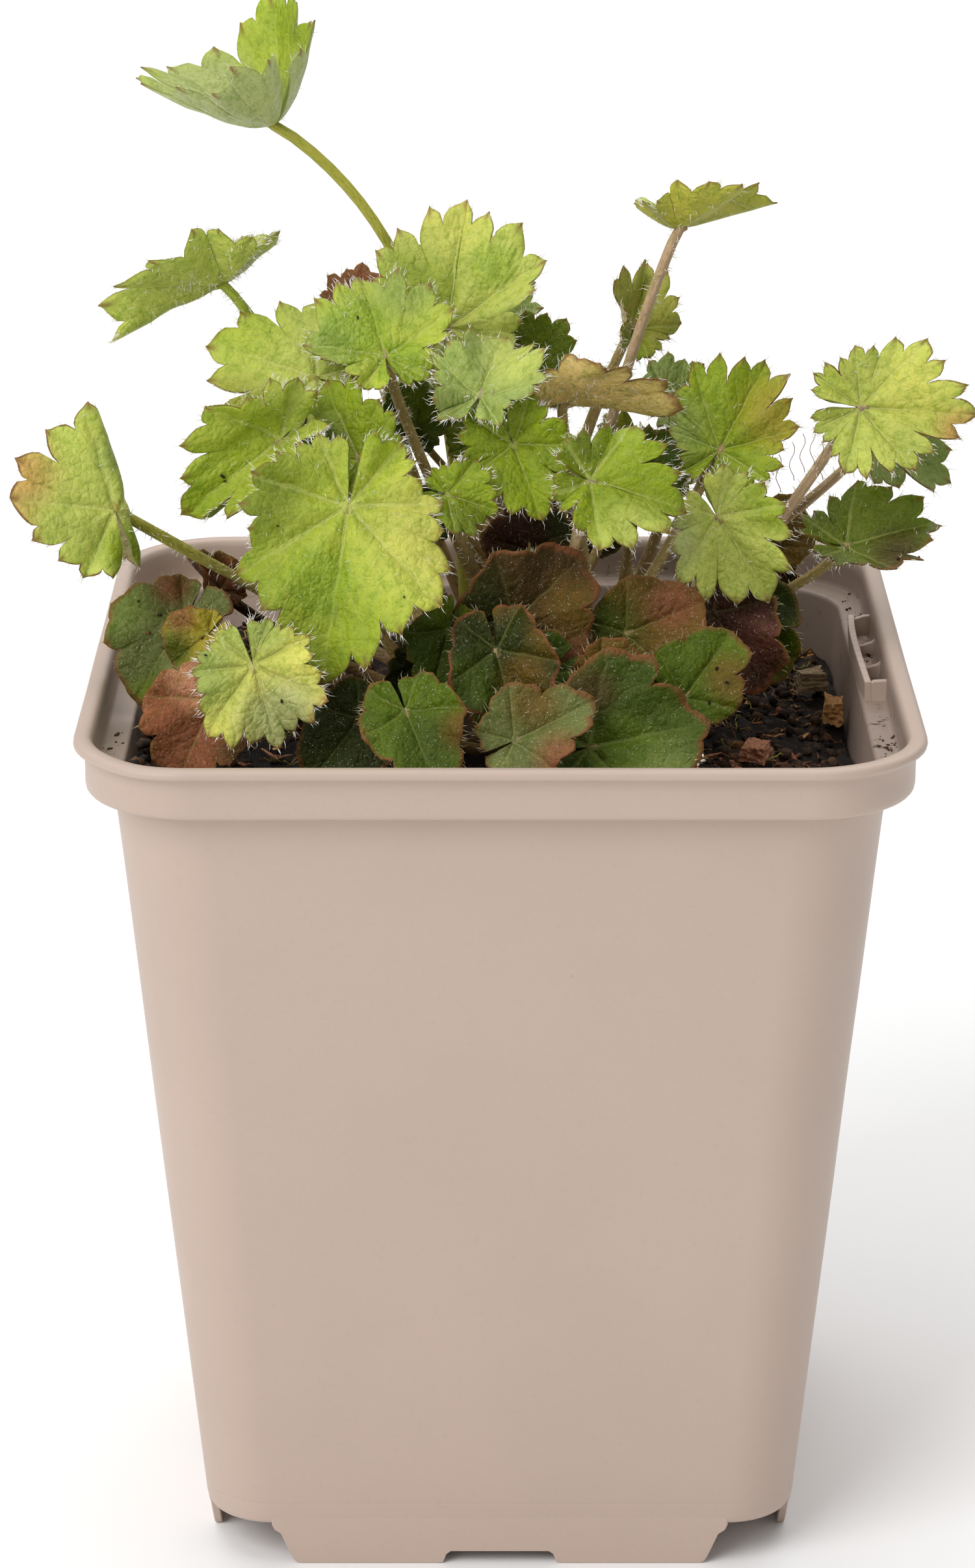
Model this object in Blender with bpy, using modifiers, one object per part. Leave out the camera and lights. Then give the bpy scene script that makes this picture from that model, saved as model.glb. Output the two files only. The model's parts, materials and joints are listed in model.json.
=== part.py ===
"""Heuchera plant in its square nursery pot.

Every size below is in millimetres, and the meshes are made in metres. +Z is up, +Y points away from
the viewer of the photo, and the origin is under the middle of the pot, on the surface it stands on.
"""
import math
from typing import NamedTuple

import bmesh
import bpy
from mathutils import Matrix, Vector

MM = 0.001
TINY = 1e-6

# Pot
LIP_WIDTH = 90.0
COLLAR_WIDTH = 87.7
BODY_WIDTH_TOP = 82.0
BODY_WIDTH_BOTTOM = 64.8
COLLAR_BOTTOM = 91.8
LIP_BOTTOM = 96.6
FLOOR_BOTTOM = 5.1
WALL = 1.0
LIP_CORNER = 13.0
COLLAR_CORNER = 12.2
BODY_CORNER_TOP = 10.8
BODY_CORNER_BOTTOM = 7.5
CORNER_STEPS = 4
SKIRT_TOP = 8.0
SKIRT_THICKNESS = 0.9
FOOT_FLAT = 0.1
SKIRT_OUTLINE = ((-25.4, SKIRT_TOP), (-25.4, 4.6), (-24.4, 3.9), (-22.9, 0.3), (-22.4, 0.0), (-6.9, 0.0),
                 (-6.4, 0.4), (-6.2, 1.2), (-5.6, 1.6), (5.6, 1.6), (6.2, 1.2), (6.4, 0.4), (6.9, 0.0),
                 (22.4, 0.0), (22.9, 0.3), (24.4, 3.9), (25.4, 4.6), (25.4, SKIRT_TOP))
DRAIN_HOLE = 3.5
DRAIN_SPACING = 17.0
LABEL_FRONT = -6.0
LABEL_BACK = 20.0
LABEL_TAB_X = 40.5
LABEL_TAB_THICKNESS = 0.9
LABEL_TOP = 96.0
LABEL_END_DROP = 0.8
LABEL_RIBS = (3.0, 11.5)
LABEL_RIB_THICKNESS = 0.8
LABEL_SLOTS = ((4.5, 10.0), (13.0, 17.5))

# Soil
SOIL_GAP = 0.3
SOIL_BOTTOM = FLOOR_BOTTOM + WALL + SOIL_GAP
SOIL_LEVEL = 87.6
SOIL_EDGE_DROP = 3.0
SOIL_RINGS = 5
SOIL_STEPS = 32
CHIP_CLEARANCE = 0.55

# Crown that the stalks grow from
CROWN = Vector((3.0, 1.0, 87.0))
CROWN_RADIUS = 10.0
CROWN_BASE = 82.0
CROWN_DISH = CROWN_RADIUS + 0.4
DISH_EDGE = CROWN_DISH + 1.2
DISH_DROP = 1.2
CROWN_STEPS = 16
CROWN_ARC_STEPS = 5
CROWN_FOOT = 0.97 * CROWN_RADIUS
HOLE_DEPTH = 2.3
HOLE_RADIUS = 1.1
HOLE_SIDES = 5
HOLE_CLEAR = 1.5
ROOT_GAP = 0.3
ROOT_RADIUS = 0.6
ROOT_SPACING = 2.9
ROOT_STRAIGHT = 1.2
RING_LIFT = {"top": 72.0, "upper": 50.0, "lower": 30.0, "outer": 9.0}

# Leaves
BLADE = 0.6
LOBE_SPREAD = 162.0
TOOTH_PLACES = (-0.62, 0.0, 0.62)
NOTCH_PLACES = (-0.31, 0.31)
SIDE_TOOTH = 0.92
TOOTH_DEPTH = 0.35
LOBE_CHANGE = 0.05
PLEAT = 0.05
FOLD_WIDTH = 0.3
STALK_POINTS = 5
STALK_TIP = 0.6
SMALL_LEAF = 9.0


class Leaf(NamedTuple):
    """A blade on its stalk: where they meet, where the blade looks, and how it is shaped.

    face is the bearing and the lift of the upper side, and turn is the way the tip points to someone
    who looks at that side: 0 to the right, 90 up. folds lift the left and right halves.
    """
    name: str
    at: tuple
    face: tuple
    turn: float
    size: float
    ring: str
    kind: str
    lobes: int = 5
    depth: float = 0.2
    cup: float = 8
    folds: tuple = (8, 8)
    bend: float = 15
    wave: float = 0.04
    back: float = 0.55
    stalk: float = 0.75
    sway: tuple = (0, 0, 0)


LEAVES = (
    Leaf("upper_leaf_01", (-25, 12, 154), (180, 64), 223, 18, "upper", "young", 5, 0.34, 42, (0, 0), 0,
         0.03, 0.2, sway=(12, 5, 4)),
    Leaf("upper_leaf_02", (-30.5, 5, 137.7), (145, 52), -58, 14.5, "upper", "young", 5, 0.36, 16,
         back=0.35, sway=(2, 5, 0)),
    Leaf("upper_leaf_03", (-20, -3, 128.8), (-95, 45), 160, 14, "upper", "young", 5, 0.36, 6, (-10, 5), 10),
    Leaf("upper_leaf_04", (-41.4, -15, 117.3), (-76, 12), 103, 13.2, "lower", "young", 5, 0.3, 4, (4, -87),
         14, back=0.3),
    Leaf("upper_leaf_05", (-23.7, -9, 123.5), (-105, 25), 222, 14, "lower", "young", 5, 0.36, 8, (38, 42)),
    Leaf("upper_leaf_06", (-15.2, -10, 121.5), (-100, 25), 118, 9.5, "upper", "young", 5, 0.34),
    Leaf("upper_leaf_07", (-12.5, -4, 131.5), (-85, 50), 100, 12.3, "top", "young", 5, 0.36),
    Leaf("upper_leaf_08", (-5.7, 6, 132.3), (-95, 32), 86, 15.8, "top", "young", 7, 0.28, 6, back=0.75),
    Leaf("upper_leaf_09", (-2.2, -11, 128.8), (-90, 58), 75, 10.5, "top", "young", 5, 0.36),
    Leaf("upper_leaf_10", (-16.2, -19, 118.8), (-90, 28), -98, 19, "lower", "young", 7, 0.24, 3, (6, 6),
         10, back=0.65),
    Leaf("upper_leaf_11", (-26, -31, 104.8), (-95, 22), -72, 10.2, "outer", "grown", 7, 0.28, 3, (6, 6),
         10, back=0.4),
    Leaf("upper_leaf_12", (-5.7, -17, 119.5), (-80, 25), -20, 6.6, "upper", "young", 5, 0.34),
    Leaf("upper_leaf_13", (1.4, -11.5, 123.6), (-90, 25), -70, 8.6, "top", "grown", 5, 0.36, back=0.2),
    Leaf("upper_leaf_14", (9.6, -15.6, 120.7), (-80, 30), -20, 12, "upper", "young", 5, 0.4, back=0.75),
    Leaf("upper_leaf_15", (23.8, -6, 114), (-85, 15), -58, 11.3, "lower", "grown", 5, 0.42),
    Leaf("upper_leaf_16", (24.6, 6.5, 118.3), (-90, 28), 62, 12, "upper", "grown", 7, 0.34, back=0.65),
    Leaf("upper_leaf_17", (40, 4, 123.8), (-95, 20), -2, 12.6, "lower", "young", 7, 0.36),
    Leaf("upper_leaf_18", (42.3, 12, 118.2), (-85, 40), -32, 9.8, "lower", "grown", 5, 0.34),
    Leaf("upper_leaf_19", (39, 7, 107), (-90, 60), 12, 11.5, "lower", "grown", 5, 0.34, 16),
    Leaf("upper_leaf_20", (20, 14, 142), (90, 72), 180, 12, "upper", "grown", 5, 0.34, 24, sway=(-4, 0, 0)),
    Leaf("upper_leaf_21", (15, 18, 129.5), (-60, 30), 60, 8.5, "upper", "grown", 5, 0.34, 5, (40, 20)),
    Leaf("upper_leaf_22", (6.8, 0, 125.4), (90, 60), 188, 14, "upper", "bronze", 5, 0.3, 8, (5, 20), back=1.1),
    Leaf("upper_leaf_23", (19, 11, 122.5), (-80, 40), 45, 7, "upper", "grown", 5, 0.28, sway=(4, 3, 0)),
    Leaf("upper_leaf_24", (-15.4, 14, 132), (-90, 40), 90, 7, "upper", "bronze", 5, 0.28),
    Leaf("upper_leaf_25", (3, 12, 126.5), (-80, 30), 45, 7.5, "top", "dark", 5, 0.28),
    Leaf("upper_leaf_26", (15.5, 6, 114), (-90, 30), 60, 8, "upper", "dark", 5, 0.28),
    Leaf("upper_leaf_27", (-4.5, 19, 129), (-90, 40), 78, 14, "top", "young", 5, 0.28),
    Leaf("lower_leaf_01", (-34.5, -9, 103.2), (-110, 35), 247, 11, "outer", "dark", 5, 0.2, 4, (30, 20)),
    Leaf("lower_leaf_02", (-31, -2, 104.5), (-60, 20), 120, 6, "outer", "dry", 5, 0.2, 5, (50, 50)),
    Leaf("lower_leaf_03", (-31.5, -17.5, 104), (-110, 30), 225, 6, "outer", "bronze", 5, 0.14),
    Leaf("lower_leaf_04", (-30.5, -25, 99), (-100, 30), 250, 10.5, "outer", "dry", 5, 0.22),
    Leaf("lower_leaf_05", (-0.4, -23.2, 104), (-85, 25), -80, 9.8, "lower", "dark", 5, 0.2, 4, (20, 20),
         back=0.4, sway=(-8, 0, 0)),
    Leaf("lower_leaf_06", (1.6, -16.5, 105.4), (-80, 10), 40, 9.8, "lower", "bronze", 5, 0.22, back=0.12),
    Leaf("lower_leaf_07", (5, -21, 100.8), (-95, 30), -140, 9.5, "outer", "dark", 5, 0.12),
    Leaf("lower_leaf_08", (-10, -32, 100), (-90, 45), -70, 9.5, "outer", "dark", 5, 0.2),
    Leaf("lower_leaf_09", (1.5, -33, 97), (-95, 40), 30, 9, "outer", "bronze", 5, 0.24),
    Leaf("lower_leaf_10", (9.5, -29, 95), (-90, 35), 12, 13.8, "outer", "dark", 5, 0.24),
    Leaf("lower_leaf_11", (13.7, -15, 103.4), (-90, 25), 22, 9, "lower", "bronze", 5, 0.12),
    Leaf("lower_leaf_12", (19.8, -21.6, 98.2), (-80, 30), 50, 8.9, "outer", "dark", 5, 0.24),
    Leaf("lower_leaf_13", (23.5, -6, 103), (-80, 25), -60, 10.5, "lower", "red", 5, 0.28),
    Leaf("lower_leaf_14", (26, -1, 102.5), (-80, 25), -60, 10.5, "outer", "dark", 5, 0.28),
    Leaf("lower_leaf_15", (10.6, -23.6, 100.8), (-90, 35), 18, 6.3, "outer", "bronze", 5, 0.14),
    Leaf("lower_leaf_16", (-15, -27, 97.5), (-95, 30), -125, 8.5, "outer", "bronze", 5, 0.14),
    Leaf("lower_leaf_17", (31, 16, 104.5), (-90, 20), 60, 7, "lower", "bronze", 5, 0.18),
    Leaf("lower_leaf_18", (3.2, -9.2, 111.2), (-85, 3), 95, 6.5, "lower", "red", 5, 0.2, back=0.2),
    Leaf("back_leaf_01", (-22, 22, 114), (130, 50), -90, 12.5, "lower", "young", 5, 0.26),
    Leaf("back_leaf_02", (-4, 28, 119), (95, 50), -90, 13, "upper", "young", 5, 0.26),
    Leaf("back_leaf_03", (17, 27, 113), (60, 50), -90, 12.5, "lower", "grown", 5, 0.26),
    Leaf("back_leaf_04", (8, 32, 103), (85, 40), -90, 11.5, "outer", "dark", 5, 0.14),
    Leaf("back_leaf_05", (-14, 30, 103), (110, 40), -90, 10.5, "outer", "bronze", 5, 0.14),
    Leaf("back_leaf_06", (28, 24, 101), (45, 45), -90, 9.5, "outer", "dark", 5, 0.14),
)

KIND_COLOURS = {
    "young": (0.36, 0.50, 0.08),
    "grown": (0.24, 0.36, 0.10),
    "dark": (0.10, 0.17, 0.08),
    "bronze": (0.26, 0.17, 0.08),
    "red": (0.20, 0.07, 0.05),
    "dry": (0.28, 0.12, 0.06),
}

# Bark chips: name, middle on the soil, length, width, height, and bearing
CHIPS = (
    ("bark_chip_01", (28.2, -11.0), (4.4, 3.2, 1.8), 75.0),
    ("bark_chip_02", (37.8, 4.2), (4.6, 2.6, 2.6), 87.0),
    ("bark_chip_03", (36.0, 16.5), (3.8, 3.2, 2.4), 20.0),
)


def clear_scene():
    for old in list(bpy.data.objects):
        bpy.data.objects.remove(old)


def new_material(name, colour, roughness):
    material = bpy.data.materials.new(name)
    material.use_nodes = True
    shader = material.node_tree.nodes["Principled BSDF"]
    shader.inputs["Base Color"].default_value = (*colour, 1.0)
    shader.inputs["Roughness"].default_value = roughness
    shader.inputs["Metallic"].default_value = 0.0
    return material


def add_mesh(collection, name, points, faces, edges=()):
    """An object made from points in millimetres."""
    mesh = bpy.data.meshes.new(name)
    mesh.from_pydata([Vector(p) * MM for p in points], edges, faces)
    mesh.update()
    made = bpy.data.objects.new(name, mesh)
    collection.objects.link(made)
    return made


def apply_modifiers(made):
    """Replace the object's mesh by what its modifiers make of it."""
    depsgraph = bpy.context.evaluated_depsgraph_get()
    mesh = bpy.data.meshes.new_from_object(made.evaluated_get(depsgraph))
    made.modifiers.clear()
    made.data = mesh


def tidy_mesh(mesh):
    """Weld loose points, split the faces into triangles and turn them outwards."""
    work = bmesh.new()
    work.from_mesh(mesh)
    bmesh.ops.remove_doubles(work, verts=work.verts, dist=TINY)
    bmesh.ops.dissolve_degenerate(work, dist=TINY, edges=work.edges)
    bmesh.ops.triangulate(work, faces=work.faces)
    bmesh.ops.recalc_face_normals(work, faces=work.faces)
    work.to_mesh(mesh)
    work.free()


def combine(target, operation, others, solver="EXACT"):
    """Join the others to the target, or cut them from it, and remove them."""
    helpers = bpy.data.collections.new(f"{target.name}_helpers")
    bpy.context.scene.collection.children.link(helpers)
    for other in others:
        for owner in list(other.users_collection):
            owner.objects.unlink(other)
        helpers.objects.link(other)
    boolean = target.modifiers.new("combine", "BOOLEAN")
    boolean.operation = operation
    boolean.operand_type = "COLLECTION"
    boolean.collection = helpers
    boolean.solver = solver
    apply_modifiers(target)
    for other in list(helpers.objects):
        bpy.data.objects.remove(other)
    bpy.data.collections.remove(helpers)
    tidy_mesh(target.data)


def add_box(collection, name, low, high):
    """A box between two corners in millimetres."""
    mesh = bpy.data.meshes.new(name)
    work = bmesh.new()
    bmesh.ops.create_cube(work, size=1.0)
    centre = (Vector(low) + Vector(high)) * 0.5 * MM
    size = (Vector(high) - Vector(low)) * MM
    place = Matrix.Translation(centre) @ Matrix.Diagonal((*size, 1.0))
    bmesh.ops.transform(work, matrix=place, verts=work.verts)
    work.to_mesh(mesh)
    work.free()
    made = bpy.data.objects.new(name, mesh)
    collection.objects.link(made)
    return made


def add_peg(collection, name, start, end, radius, sides):
    """A round peg between two points in millimetres."""
    mesh = bpy.data.meshes.new(name)
    work = bmesh.new()
    along = Vector(end) - Vector(start)
    bmesh.ops.create_cone(work, cap_ends=True, segments=sides, radius1=radius * MM, radius2=radius * MM,
                          depth=along.length * MM)
    turn = along.to_track_quat("Z", "Y").to_matrix().to_4x4()
    middle = (Vector(start) + Vector(end)) * 0.5 * MM
    bmesh.ops.transform(work, matrix=Matrix.Translation(middle) @ turn, verts=work.verts)
    work.to_mesh(mesh)
    work.free()
    made = bpy.data.objects.new(name, mesh)
    collection.objects.link(made)
    return made


def rounded_square(width, corner, height):
    """Points round a square with rounded corners, anticlockwise from above."""
    inner = width / 2 - corner
    points = []
    for quarter in range(4):
        middle = math.radians(45 + 90 * quarter)
        corner_x = math.copysign(inner, math.cos(middle))
        corner_y = math.copysign(inner, math.sin(middle))
        for step in range(CORNER_STEPS + 1):
            angle = math.radians(90 * quarter + 90 * step / CORNER_STEPS)
            points.append((corner_x + corner * math.cos(angle), corner_y + corner * math.sin(angle), height))
    return points


def body_width(height):
    """Outer width of the tapering body."""
    return BODY_WIDTH_BOTTOM + (BODY_WIDTH_TOP - BODY_WIDTH_BOTTOM) * height / COLLAR_BOTTOM


def body_corner(height):
    return BODY_CORNER_BOTTOM + (BODY_CORNER_TOP - BODY_CORNER_BOTTOM) * height / COLLAR_BOTTOM


def loft(rings, close_bottom, close_top):
    """Faces that skin equal rings of points, from the bottom ring up."""
    count = len(rings[0])
    points = [p for ring in rings for p in ring]
    faces = []
    for level in range(len(rings) - 1):
        for k in range(count):
            a = level * count + k
            b = level * count + (k + 1) % count
            faces.append((a, b, b + count, a + count))
    if close_bottom:
        faces.append(tuple(reversed(range(count))))
    if close_top:
        last = (len(rings) - 1) * count
        faces.append(tuple(range(last, last + count)))
    return points, faces


def make_skirt(collection, side):
    """One of the four feet: a slotted plate that carries a wall down to the surface."""
    curve = bpy.data.curves.new("foot_skirt", "CURVE")
    curve.dimensions = "2D"
    curve.fill_mode = "BOTH"
    curve.extrude = SKIRT_THICKNESS / 2 * MM
    spline = curve.splines.new("POLY")
    spline.points.add(len(SKIRT_OUTLINE) - 1)
    for point, (across, height) in zip(spline.points, SKIRT_OUTLINE):
        point.co = (across * MM, height * MM, 0, 1)
    spline.use_cyclic_u = True
    flat = bpy.data.objects.new("foot_skirt", curve)
    collection.objects.link(flat)
    slope = math.atan((BODY_WIDTH_TOP - BODY_WIDTH_BOTTOM) / 2 / COLLAR_BOTTOM)
    inset = body_width(0) / 2 - WALL / 2
    stand = Matrix.Rotation(math.radians(90) + slope, 4, "X")
    flat.matrix_world = (Matrix.Rotation(math.radians(90 * side), 4, "Z")
                         @ Matrix.Translation((0, -inset * MM, 0)) @ stand)
    bpy.context.view_layer.update()
    mesh = bpy.data.meshes.new_from_object(flat.evaluated_get(bpy.context.evaluated_depsgraph_get()))
    mesh.transform(flat.matrix_world)
    work = bmesh.new()
    work.from_mesh(mesh)
    bmesh.ops.remove_doubles(work, verts=work.verts, dist=TINY)
    bmesh.ops.recalc_face_normals(work, faces=work.faces)
    for vert in work.verts:
        if vert.co.z < FOOT_FLAT * MM:
            vert.co.z = 0.0
    work.to_mesh(mesh)
    work.free()
    made = bpy.data.objects.new(f"foot_skirt_{side}", mesh)
    collection.objects.link(made)
    bpy.data.objects.remove(flat)
    return made


def make_rib(collection, across):
    """A four-cornered rib between the label holder's tab and the collar."""
    inner = LABEL_TAB_X
    outer = COLLAR_WIDTH / 2 - WALL / 2
    low = COLLAR_BOTTOM + 0.4
    outline = ((inner, low), (outer, low), (outer, LABEL_TOP - 1.0), (inner, low + 1.2))
    near = across - LABEL_RIB_THICKNESS / 2
    far = across + LABEL_RIB_THICKNESS / 2
    points = [(x, near, z) for x, z in outline] + [(x, far, z) for x, z in outline]
    faces = [(0, 1, 2, 3), (7, 6, 5, 4)] + [(k, k + 4, (k + 1) % 4 + 4, (k + 1) % 4) for k in range(4)]
    made = add_mesh(collection, "label_rib", points, faces)
    tidy_mesh(made.data)
    return made


def make_label_holder(collection):
    """The tab, end walls and ribs that hold a plant label against the right wall."""
    half = LABEL_TAB_THICKNESS / 2
    low = COLLAR_BOTTOM + 0.3
    outer = COLLAR_WIDTH / 2 - WALL / 2
    end_top = LABEL_TOP - LABEL_END_DROP
    end_inner = LABEL_TAB_X - half / 2
    tab = add_box(collection, "label_tab", (LABEL_TAB_X - half, LABEL_FRONT, low),
                  (LABEL_TAB_X + half, LABEL_BACK, LABEL_TOP))
    front = add_box(collection, "label_front", (end_inner, LABEL_FRONT, low),
                    (outer, LABEL_FRONT + LABEL_TAB_THICKNESS, end_top))
    back = add_box(collection, "label_back", (end_inner, LABEL_BACK - LABEL_TAB_THICKNESS, low),
                   (outer, LABEL_BACK, end_top))
    return [tab, front, back] + [make_rib(collection, across) for across in LABEL_RIBS]


def make_pot(collection):
    levels = (
        rounded_square(body_width(FLOOR_BOTTOM), body_corner(FLOOR_BOTTOM), FLOOR_BOTTOM),
        rounded_square(BODY_WIDTH_TOP, BODY_CORNER_TOP, COLLAR_BOTTOM),
        rounded_square(COLLAR_WIDTH, COLLAR_CORNER, COLLAR_BOTTOM),
        rounded_square(COLLAR_WIDTH, COLLAR_CORNER, LIP_BOTTOM),
        rounded_square(LIP_WIDTH, LIP_CORNER, LIP_BOTTOM),
    )
    pot = add_mesh(collection, "pot", *loft(levels, True, False))
    wall = pot.modifiers.new("wall", "SOLIDIFY")
    wall.thickness = WALL * MM
    wall.offset = -1.0
    wall.use_even_offset = True
    apply_modifiers(pot)
    tidy_mesh(pot.data)
    skirts = [make_skirt(collection, side) for side in range(4)]
    combine(pot, "UNION", skirts + make_label_holder(collection))
    cutters = []
    corners = [(x * DRAIN_SPACING, y * DRAIN_SPACING) for x in (-1, 1) for y in (-1, 1)]
    for x, y in (*corners, (0.0, 0.0)):
        cutters.append(add_peg(collection, "drain", (x, y, FLOOR_BOTTOM - 2), (x, y, FLOOR_BOTTOM + 3),
                               DRAIN_HOLE, 8))
    slot_inner = LABEL_TAB_X + LABEL_TAB_THICKNESS
    slot_outer = COLLAR_WIDTH / 2 - WALL - 0.3
    for front, back in LABEL_SLOTS:
        cutters.append(add_box(collection, "label_slot", (slot_inner, front, COLLAR_BOTTOM - 1),
                               (slot_outer, back, COLLAR_BOTTOM + 1.15)))
    combine(pot, "DIFFERENCE", cutters)
    pot.data.materials.clear()
    pot.data.materials.append(new_material("pot_plastic", (0.55, 0.44, 0.36), 0.45))
    return pot


def soil_height(x, y):
    """Height of the lumpy soil, lower at the back right."""
    broad = 0.55 * math.sin(0.33 * x + 1.1) * math.sin(0.29 * y - 0.6)
    fine = 0.35 * math.sin(0.61 * x - 0.47 * y)
    return SOIL_LEVEL + broad + fine - 0.035 * x - 0.02 * y


def soil_outline(height):
    """Points round the soil where it meets the pot's wall, in even turns about the middle."""
    half = body_width(height) / 2 - WALL - SOIL_GAP
    corner = body_corner(height) - WALL - SOIL_GAP
    straight = half - corner
    outline = []
    for step in range(SOIL_STEPS):
        angle = 2 * math.pi * step / SOIL_STEPS
        reach = half / max(abs(math.cos(angle)), abs(math.sin(angle)))
        x = reach * math.cos(angle)
        y = reach * math.sin(angle)
        over_x = abs(x) - straight
        over_y = abs(y) - straight
        if over_x > 0 and over_y > 0:
            shrink = min(1.0, corner / math.hypot(over_x, over_y))
            x = math.copysign(straight + over_x * shrink, x)
            y = math.copysign(straight + over_y * shrink, y)
        outline.append((x, y))
    return outline


def crown_circle(radius):
    """Points round the crown, in the same turns as the soil's outline."""
    turns = [2 * math.pi * step / SOIL_STEPS for step in range(SOIL_STEPS)]
    return [(CROWN.x + radius * math.cos(turn), CROWN.y + radius * math.sin(turn)) for turn in turns]


def make_soil(collection):
    """The compost: a block that fills the pot, with a lumpy top and a dish for the crown."""
    edge = soil_outline(SOIL_LEVEL - SOIL_EDGE_DROP)
    dish = crown_circle(DISH_EDGE)
    rings = [[(x, y, SOIL_BOTTOM) for x, y in soil_outline(SOIL_BOTTOM)]]
    for level in range(SOIL_RINGS):
        share = level / (SOIL_RINGS - 1)
        ring = []
        for outer, inner in zip(edge, dish):
            x = outer[0] * (1 - share) + inner[0] * share
            y = outer[1] * (1 - share) + inner[1] * share
            ring.append((x, y, soil_height(x, y) - DISH_DROP * share ** 4))
        rings.append(ring)
    rings.append([(x, y, CROWN_BASE - SOIL_GAP) for x, y in crown_circle(CROWN_DISH)])
    soil = add_mesh(collection, "potting_soil", *loft(rings, True, True))
    tidy_mesh(soil.data)
    soil.data.materials.append(new_material("compost", (0.03, 0.02, 0.015), 0.95))
    return soil


def make_crown(collection, sockets):
    """The short woody crown: a turned dome with a plain hole for every stalk."""
    profile = []
    for step in range(CROWN_ARC_STEPS + 1):
        angle = math.pi / 2 * step / CROWN_ARC_STEPS
        profile.append((CROWN_RADIUS * math.sin(angle), 0.0, CROWN_RADIUS * math.cos(angle)))
    profile.append((CROWN_FOOT, 0.0, CROWN_BASE - CROWN.z))
    profile.append((0.0, 0.0, CROWN_BASE - CROWN.z))
    edges = [(k, k + 1) for k in range(len(profile) - 1)]
    crown = add_mesh(collection, "crown", profile, [], edges)
    screw = crown.modifiers.new("turn", "SCREW")
    screw.steps = CROWN_STEPS
    screw.render_steps = CROWN_STEPS
    screw.use_merge_vertices = True
    screw.merge_threshold = 1e-5
    apply_modifiers(crown)
    crown.data.transform(Matrix.Translation(CROWN * MM))
    tidy_mesh(crown.data)
    pegs = []
    for direction in sockets:
        inner = CROWN + direction * (CROWN_RADIUS - HOLE_DEPTH)
        outer = CROWN + direction * (CROWN_RADIUS + HOLE_CLEAR)
        pegs.append(add_peg(collection, "stalk_hole", inner, outer, HOLE_RADIUS, HOLE_SIDES))
    combine(crown, "DIFFERENCE", pegs)
    crown.data.materials.clear()
    crown.data.materials.append(new_material("crown_wood", (0.10, 0.06, 0.035), 0.9))
    return crown


def direction_of(bearing, lift):
    """The direction with a bearing and a lift in degrees."""
    level = Vector((math.cos(math.radians(bearing)), math.sin(math.radians(bearing)), 0.0))
    return level * math.cos(math.radians(lift)) + Vector((0, 0, math.sin(math.radians(lift))))


def leaf_axes(leaf):
    """Turns the blade's own axes, to the tip, to its left and out of its upper side, into the world's."""
    out = direction_of(*leaf.face)
    right = direction_of(leaf.face[0] + 90, 0)
    up = out.cross(right)
    turn = math.radians(leaf.turn)
    tip = right * math.cos(turn) + up * math.sin(turn)
    return Matrix((tip, out.cross(tip), out)).transposed()


def blade_point(leaf, axes, angle, share, edge):
    """A point of the blade's middle surface, in millimetres."""
    reach = share * edge
    rise = math.radians(leaf.cup) * (0.5 + 0.5 * share)
    x = reach * math.cos(rise) * math.cos(angle)
    y = reach * math.cos(rise) * math.sin(angle)
    step = math.radians(2 * LOBE_SPREAD / leaf.lobes)
    height = reach * math.sin(rise)
    height -= PLEAT * reach * math.cos(2 * math.pi * angle / step)
    height += leaf.wave * leaf.size * share ** 3 * math.sin(3 * angle + leaf.size)
    fold = math.radians(leaf.folds[0] if y > 0 else leaf.folds[1])
    fold *= min(1.0, abs(y) / (FOLD_WIDTH * leaf.size))
    across = abs(y) * math.cos(fold) - height * math.sin(fold)
    height = abs(y) * math.sin(fold) + height * math.cos(fold)
    y = math.copysign(across, y)
    if leaf.bend:
        radius = leaf.size / math.radians(leaf.bend)
        swing = x / radius
        x = (radius + height) * math.sin(swing)
        height = (radius + height) * math.cos(swing) - radius
    return Vector(leaf.at) + axes @ Vector((x, y, height))


def edge_reach(leaf, angle):
    """How far the blade reaches from its stalk, before teeth and notches."""
    return leaf.size / (1.0 + leaf.back * (1.0 - math.cos(angle)))


def outline_points(leaf):
    """Angle and reach of each tooth tip and notch, from one side of the stalk round to the other."""
    step = math.radians(2 * LOBE_SPREAD / leaf.lobes)
    marks = [(-math.radians(LOBE_SPREAD), 1.0 - leaf.depth)]
    for lobe in range(leaf.lobes):
        middle = (lobe - (leaf.lobes - 1) / 2) * step
        places = sorted((*TOOTH_PLACES, *NOTCH_PLACES))
        for place in places:
            size = 1.0 if place == 0.0 else SIDE_TOOTH
            if place in NOTCH_PLACES:
                size = SIDE_TOOTH - TOOTH_DEPTH * leaf.depth
            size *= 1.0 + LOBE_CHANGE * math.sin(2.3 * lobe + leaf.size)
            marks.append((middle + place * step / 2, size))
        marks.append((middle + step / 2, 1.0 - leaf.depth))
    return [(angle, size * edge_reach(leaf, angle)) for angle, size in marks]


def thicken(blade):
    thick = blade.modifiers.new("thickness", "SOLIDIFY")
    thick.thickness = BLADE * MM
    thick.offset = 0.0
    apply_modifiers(blade)
    tidy_mesh(blade.data)
    return blade


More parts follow.
